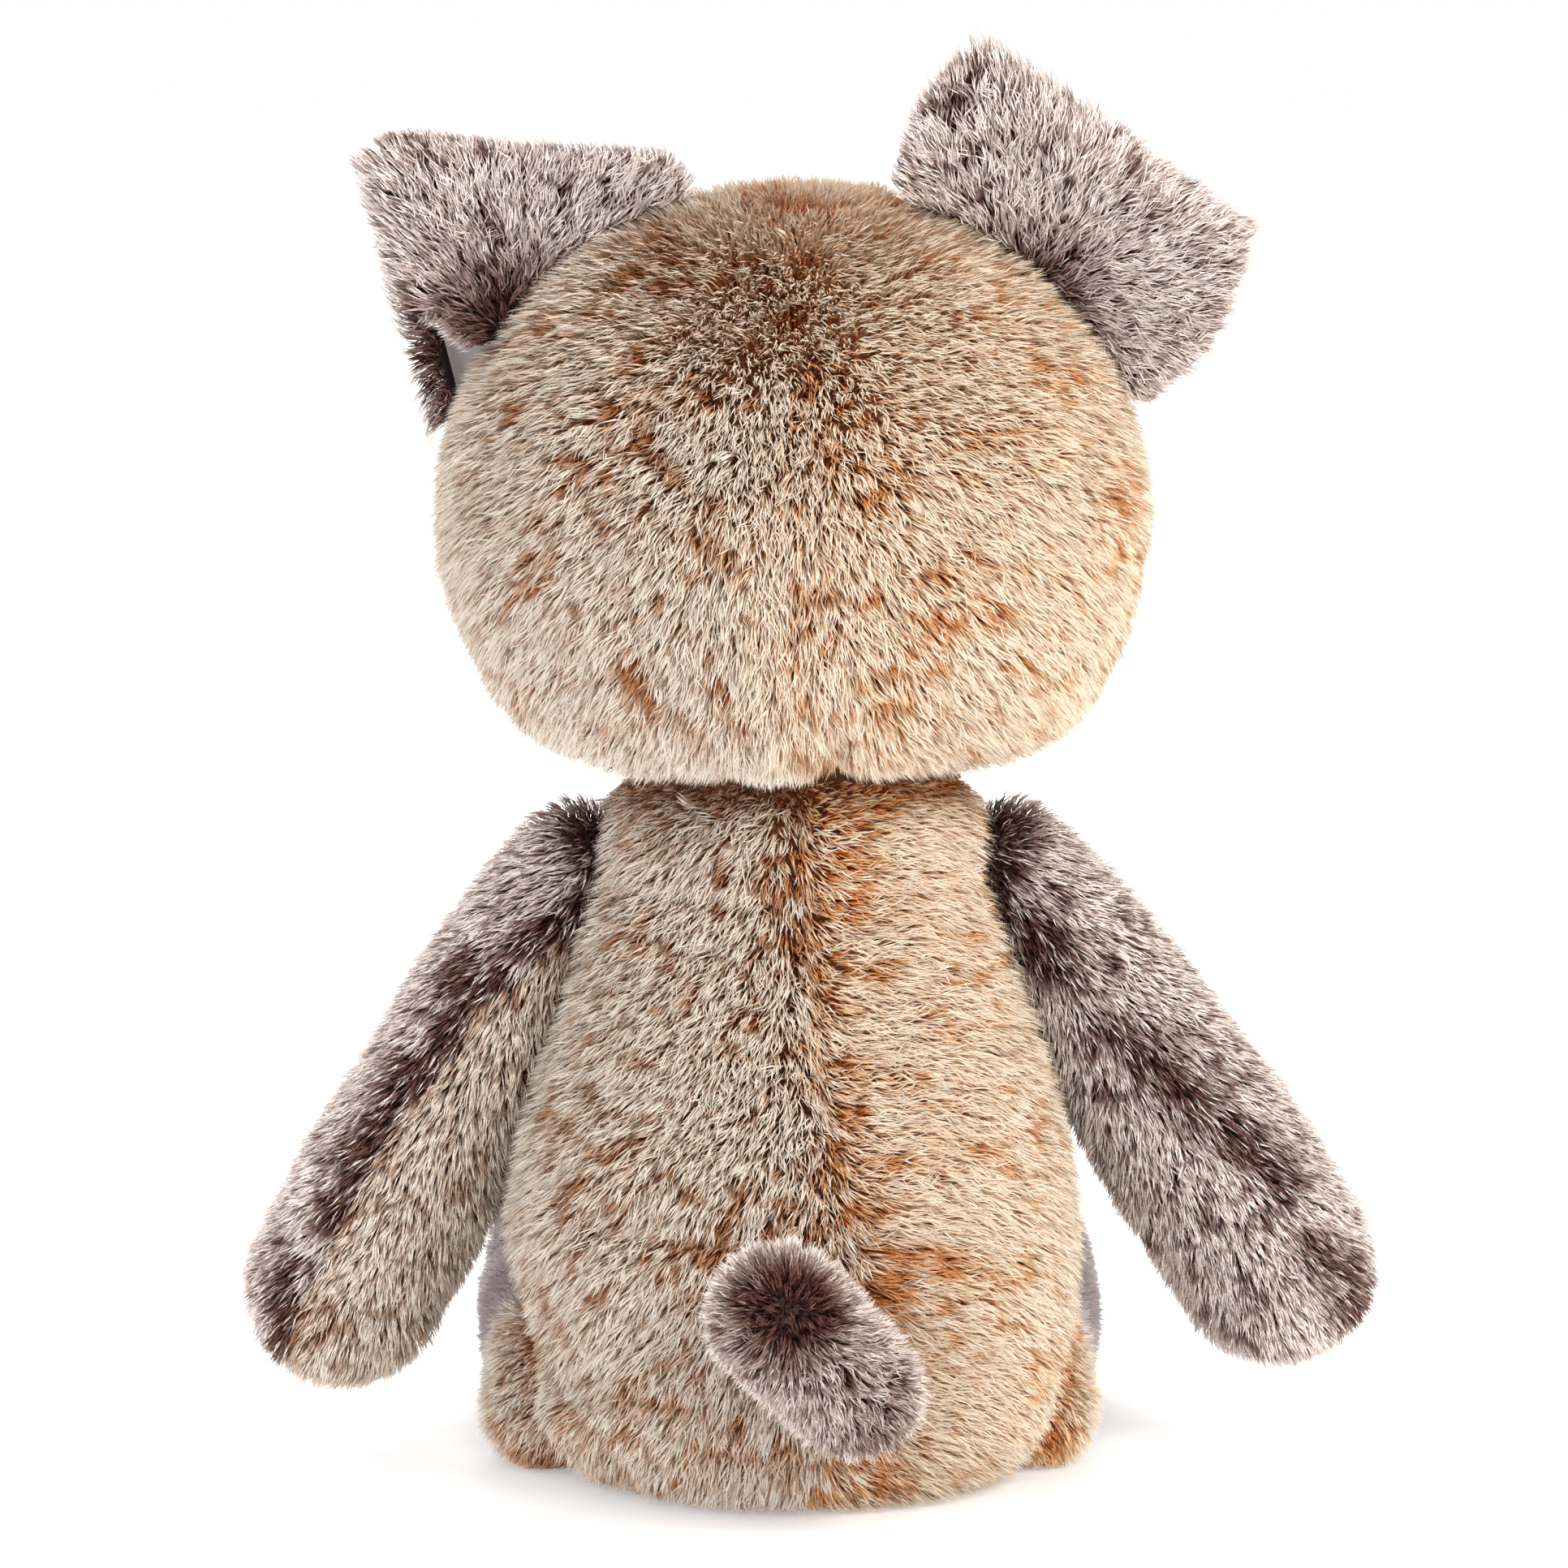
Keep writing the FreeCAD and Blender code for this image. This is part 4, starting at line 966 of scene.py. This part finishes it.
BEAN = cloth_material("bean_cloth_weave", [(0.35, (186, 178, 160)), (0.65, (206, 200, 184))], 260, 0.5, 2200)
POUCH = cloth_material("pouch_cloth_weave", [(0.35, (40, 42, 48)), (0.65, (58, 60, 68))], 260, 0.5, 2200)
FELT = cloth_material("sole_felt", [(0.3, (150, 132, 130)), (0.7, (184, 168, 166))], 300, 0.6, 1500, 0.95)
TAPE = cloth_material("hook_and_loop_tape", [(0.35, (196, 182, 162)), (0.65, (222, 210, 192))],
                      700, 0.9, 3200, 0.95)
for node, body, material, crown, full in (("bean_bag", "torso", BEAN, 2.6, (0.5, 1.0)),
                                          ("neck_pad", "neck", BEAN, 2.2, (0.5, 1.0)),
                                          ("module_pouch", "torso", POUCH, 12, (0.08, 0.45))):
    low, high = (arr(c) * 1000 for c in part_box(node))
    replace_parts(pillow(f"{node}_cushion", body, low, high, material, 0.1, crown, full), node)
for side in ("left", "right"):
    low, high = (arr(c) * 1000 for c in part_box(f"foot_{side}_sole"))
    pad = pillow(f"sole_{side}_pad", f"leg_{side}", low + (0, -0.4, 0), high + (0, 1.2, 0), FELT, 0.15, 2.1)
    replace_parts(pad, f"foot_{side}_sole")


def tape(node, fuzz_up):
    """A strip whose one face stands in small hooks or loops."""
    low, high = (arr(c) * 1000 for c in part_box(node))
    nx, ny = 92, 18
    xs, ys = np.meshgrid(np.linspace(low[0], high[0], nx), np.linspace(low[1], high[1], ny), indexing="ij")
    rough = 0.35 * hashed(np.stack([np.arange(nx * ny)] * 3, 1), 7).reshape(nx, ny)
    rough[[0, -1], :] = rough[:, [0, -1]] = 0
    face = np.full((nx, ny), high[2] if fuzz_up else low[2]) + (-rough if fuzz_up else rough)
    flat = np.full((nx, ny), low[2] if fuzz_up else high[2])
    heights = (face, flat) if fuzz_up else (flat, face)
    top, bottom = (np.stack([xs, ys, z], -1).reshape(-1, 3) for z in heights)
    quads = grid_faces(nx, ny, closed=False)
    under = quads[:, ::-1] + nx * ny
    rim = [i * ny for i in range(nx)] + [(nx - 1) * ny + j for j in range(1, ny)]
    rim += [i * ny + ny - 1 for i in range(nx - 2, -1, -1)] + list(range(ny - 2, 0, -1))
    walls = [(a, b, b + nx * ny, a + nx * ny) for a, b in zip(rim, rim[1:] + rim[:1])]
    faces = np.concatenate([quads, under, arr(walls)])
    ob = new_mesh(f"{node}_tape", np.concatenate([top, bottom]), faces, TAPE)
    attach(ob, "torso")
    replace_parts(ob, node)


tape("hook_strip", True)
tape("loop_strip", False)


# Hard pieces keep their CAD shape and get moulded, stamped or printed finishes

def moulded(name, stops, scale, rough, bump, bump_scale, **more):
    mat, nt, p = shader(name, **more)
    nt.links.new(ramp(nt, noise_node(nt, scale), stops), p.inputs["Base Color"])
    r = nt.nodes.new("ShaderNodeMapRange")
    r.inputs["To Min"].default_value, r.inputs["To Max"].default_value = rough
    nt.links.new(noise_node(nt, scale * 4), r.inputs["Value"])
    nt.links.new(r.outputs["Result"], p.inputs["Roughness"])
    b = nt.nodes.new("ShaderNodeBump")
    b.inputs["Strength"].default_value = bump
    b.inputs["Distance"].default_value = 0.0002
    nt.links.new(noise_node(nt, bump_scale, 2.0), b.inputs["Height"])
    nt.links.new(b.outputs["Normal"], p.inputs["Normal"])
    return mat


EYE = moulded("eye_gloss", [(0.3, (16, 9, 6)), (0.7, (34, 20, 13))],
              60, (0.06, 0.12), 0.02, 400, Coat_Weight=0.2)
NOSE = moulded("nose_gloss", [(0.3, (26, 16, 13)), (0.7, (44, 28, 23))],
               90, (0.22, 0.4), 0.25, 1800, Coat_Weight=0.3)
WASHER = moulded("washer_plastic_milky", [(0.3, (206, 206, 200)), (0.7, (226, 226, 220))],
                 80, (0.4, 0.55), 0.1, 900)
CASE = moulded("case_plastic_grained", [(0.3, (206, 204, 198)), (0.7, (222, 220, 214))],
               70, (0.42, 0.6), 0.3, 2600)
BUTTON = moulded("button_plastic_satin", [(0.3, (196, 62, 48)), (0.7, (214, 78, 62))],
                 70, (0.3, 0.42), 0.15, 2000)
SWITCH = moulded("switch_plastic_black", [(0.3, (24, 24, 26)), (0.7, (42, 42, 46))],
                 90, (0.35, 0.5), 0.2, 2200)
BOARD = moulded("board_green", [(0.42, (18, 74, 44)), (0.5, (30, 104, 62)), (0.56, (22, 84, 50))],
                500, (0.25, 0.4),
                0.4, 1400)
STEEL = moulded("steel_brushed", [(0.3, (150, 150, 148)), (0.7, (196, 196, 194))],
                220, (0.2, 0.38), 0.25, 3000,
                Metallic=1.0)
THREAD = moulded("thread_twisted", [(0.3, (44, 26, 20)), (0.7, (74, 46, 36))], 900, (0.6, 0.8), 0.8, 3500)
HARD = {
    "eye_left": EYE, "eye_right": EYE, "nose": NOSE, "mouth_stitch": THREAD,
    "eye_washers": WASHER, "nose_washer": WASHER,
    "module_front_shell": CASE, "module_rear_shell": CASE, "battery_door": CASE,
    "case_screws": STEEL, "door_screw": STEEL, "button_cells": STEEL, "battery_contacts": STEEL,
    "circuit_board": BOARD, "contact_switch": SWITCH, "speaker": SWITCH, "slide_switch": SWITCH,
    "press_button": BUTTON,
}
for node, material in HARD.items():
    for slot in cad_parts[node].material_slots:
        slot.material = material

# Camera, light and floor
target = Vector((0.00235, 0, 0.1686))
distance = 1.9
half_view = 0.18935
camera = bpy.data.objects.new("camera", bpy.data.cameras.new("camera"))
scene.collection.objects.link(camera)
away = Vector((0, math.cos(TILT), math.sin(TILT)))
camera.location = target + away * distance
camera.rotation_euler = (-away).to_track_quat("-Z", "Y").to_euler()
camera.data.sensor_width = 36
camera.data.lens = camera.data.sensor_width / 2 / (half_view / distance)
scene.camera = camera


def area_light(name, location, size, power, colour):
    light = bpy.data.lights.new(name, "AREA")
    light.size, light.energy, light.color = size, power, colour
    ob = bpy.data.objects.new(name, light)
    ob.location = location
    ob.rotation_euler = (Vector((0, 0, 0.16)) - Vector(location)).to_track_quat("-Z", "Y").to_euler()
    scene.collection.objects.link(ob)


area_light("key", (-1.1, 1.1, 1.3), 0.8, 18, (1.0, 0.96, 0.9))
area_light("fill", (1.2, 0.9, 0.6), 1.0, 5, (0.88, 0.93, 1.0))
area_light("front", (0.3, -1.4, 1.1), 1.0, 14, (1.0, 0.98, 0.96))
world = bpy.data.worlds.new("studio")
world.use_nodes = True
world.node_tree.nodes["Background"].inputs["Color"].default_value = (1, 1, 1, 1)
world.node_tree.nodes["Background"].inputs["Strength"].default_value = 1.0
scene.world = world
scene.view_settings.view_transform = "Standard"

floor_mat, nt, p = shader("pale_floor", Roughness=0.9, Specular_IOR_Level=0.1, Emission_Color=(1, 1, 1, 1),
                          Emission_Strength=0.28)
floor_colour = ramp(nt, noise_node(nt, 3.0), [(0.0, (246, 246, 246)), (1.0, (250, 250, 250))])
nt.links.new(floor_colour, p.inputs["Base Color"])
corners = [(x * FLOOR_HALF, y * FLOOR_HALF, 0) for x, y in ((-1, -1), (1, -1), (1, 1), (-1, 1))]
floor = new_mesh("floor", corners, [(0, 1, 2, 3)], floor_mat, False)
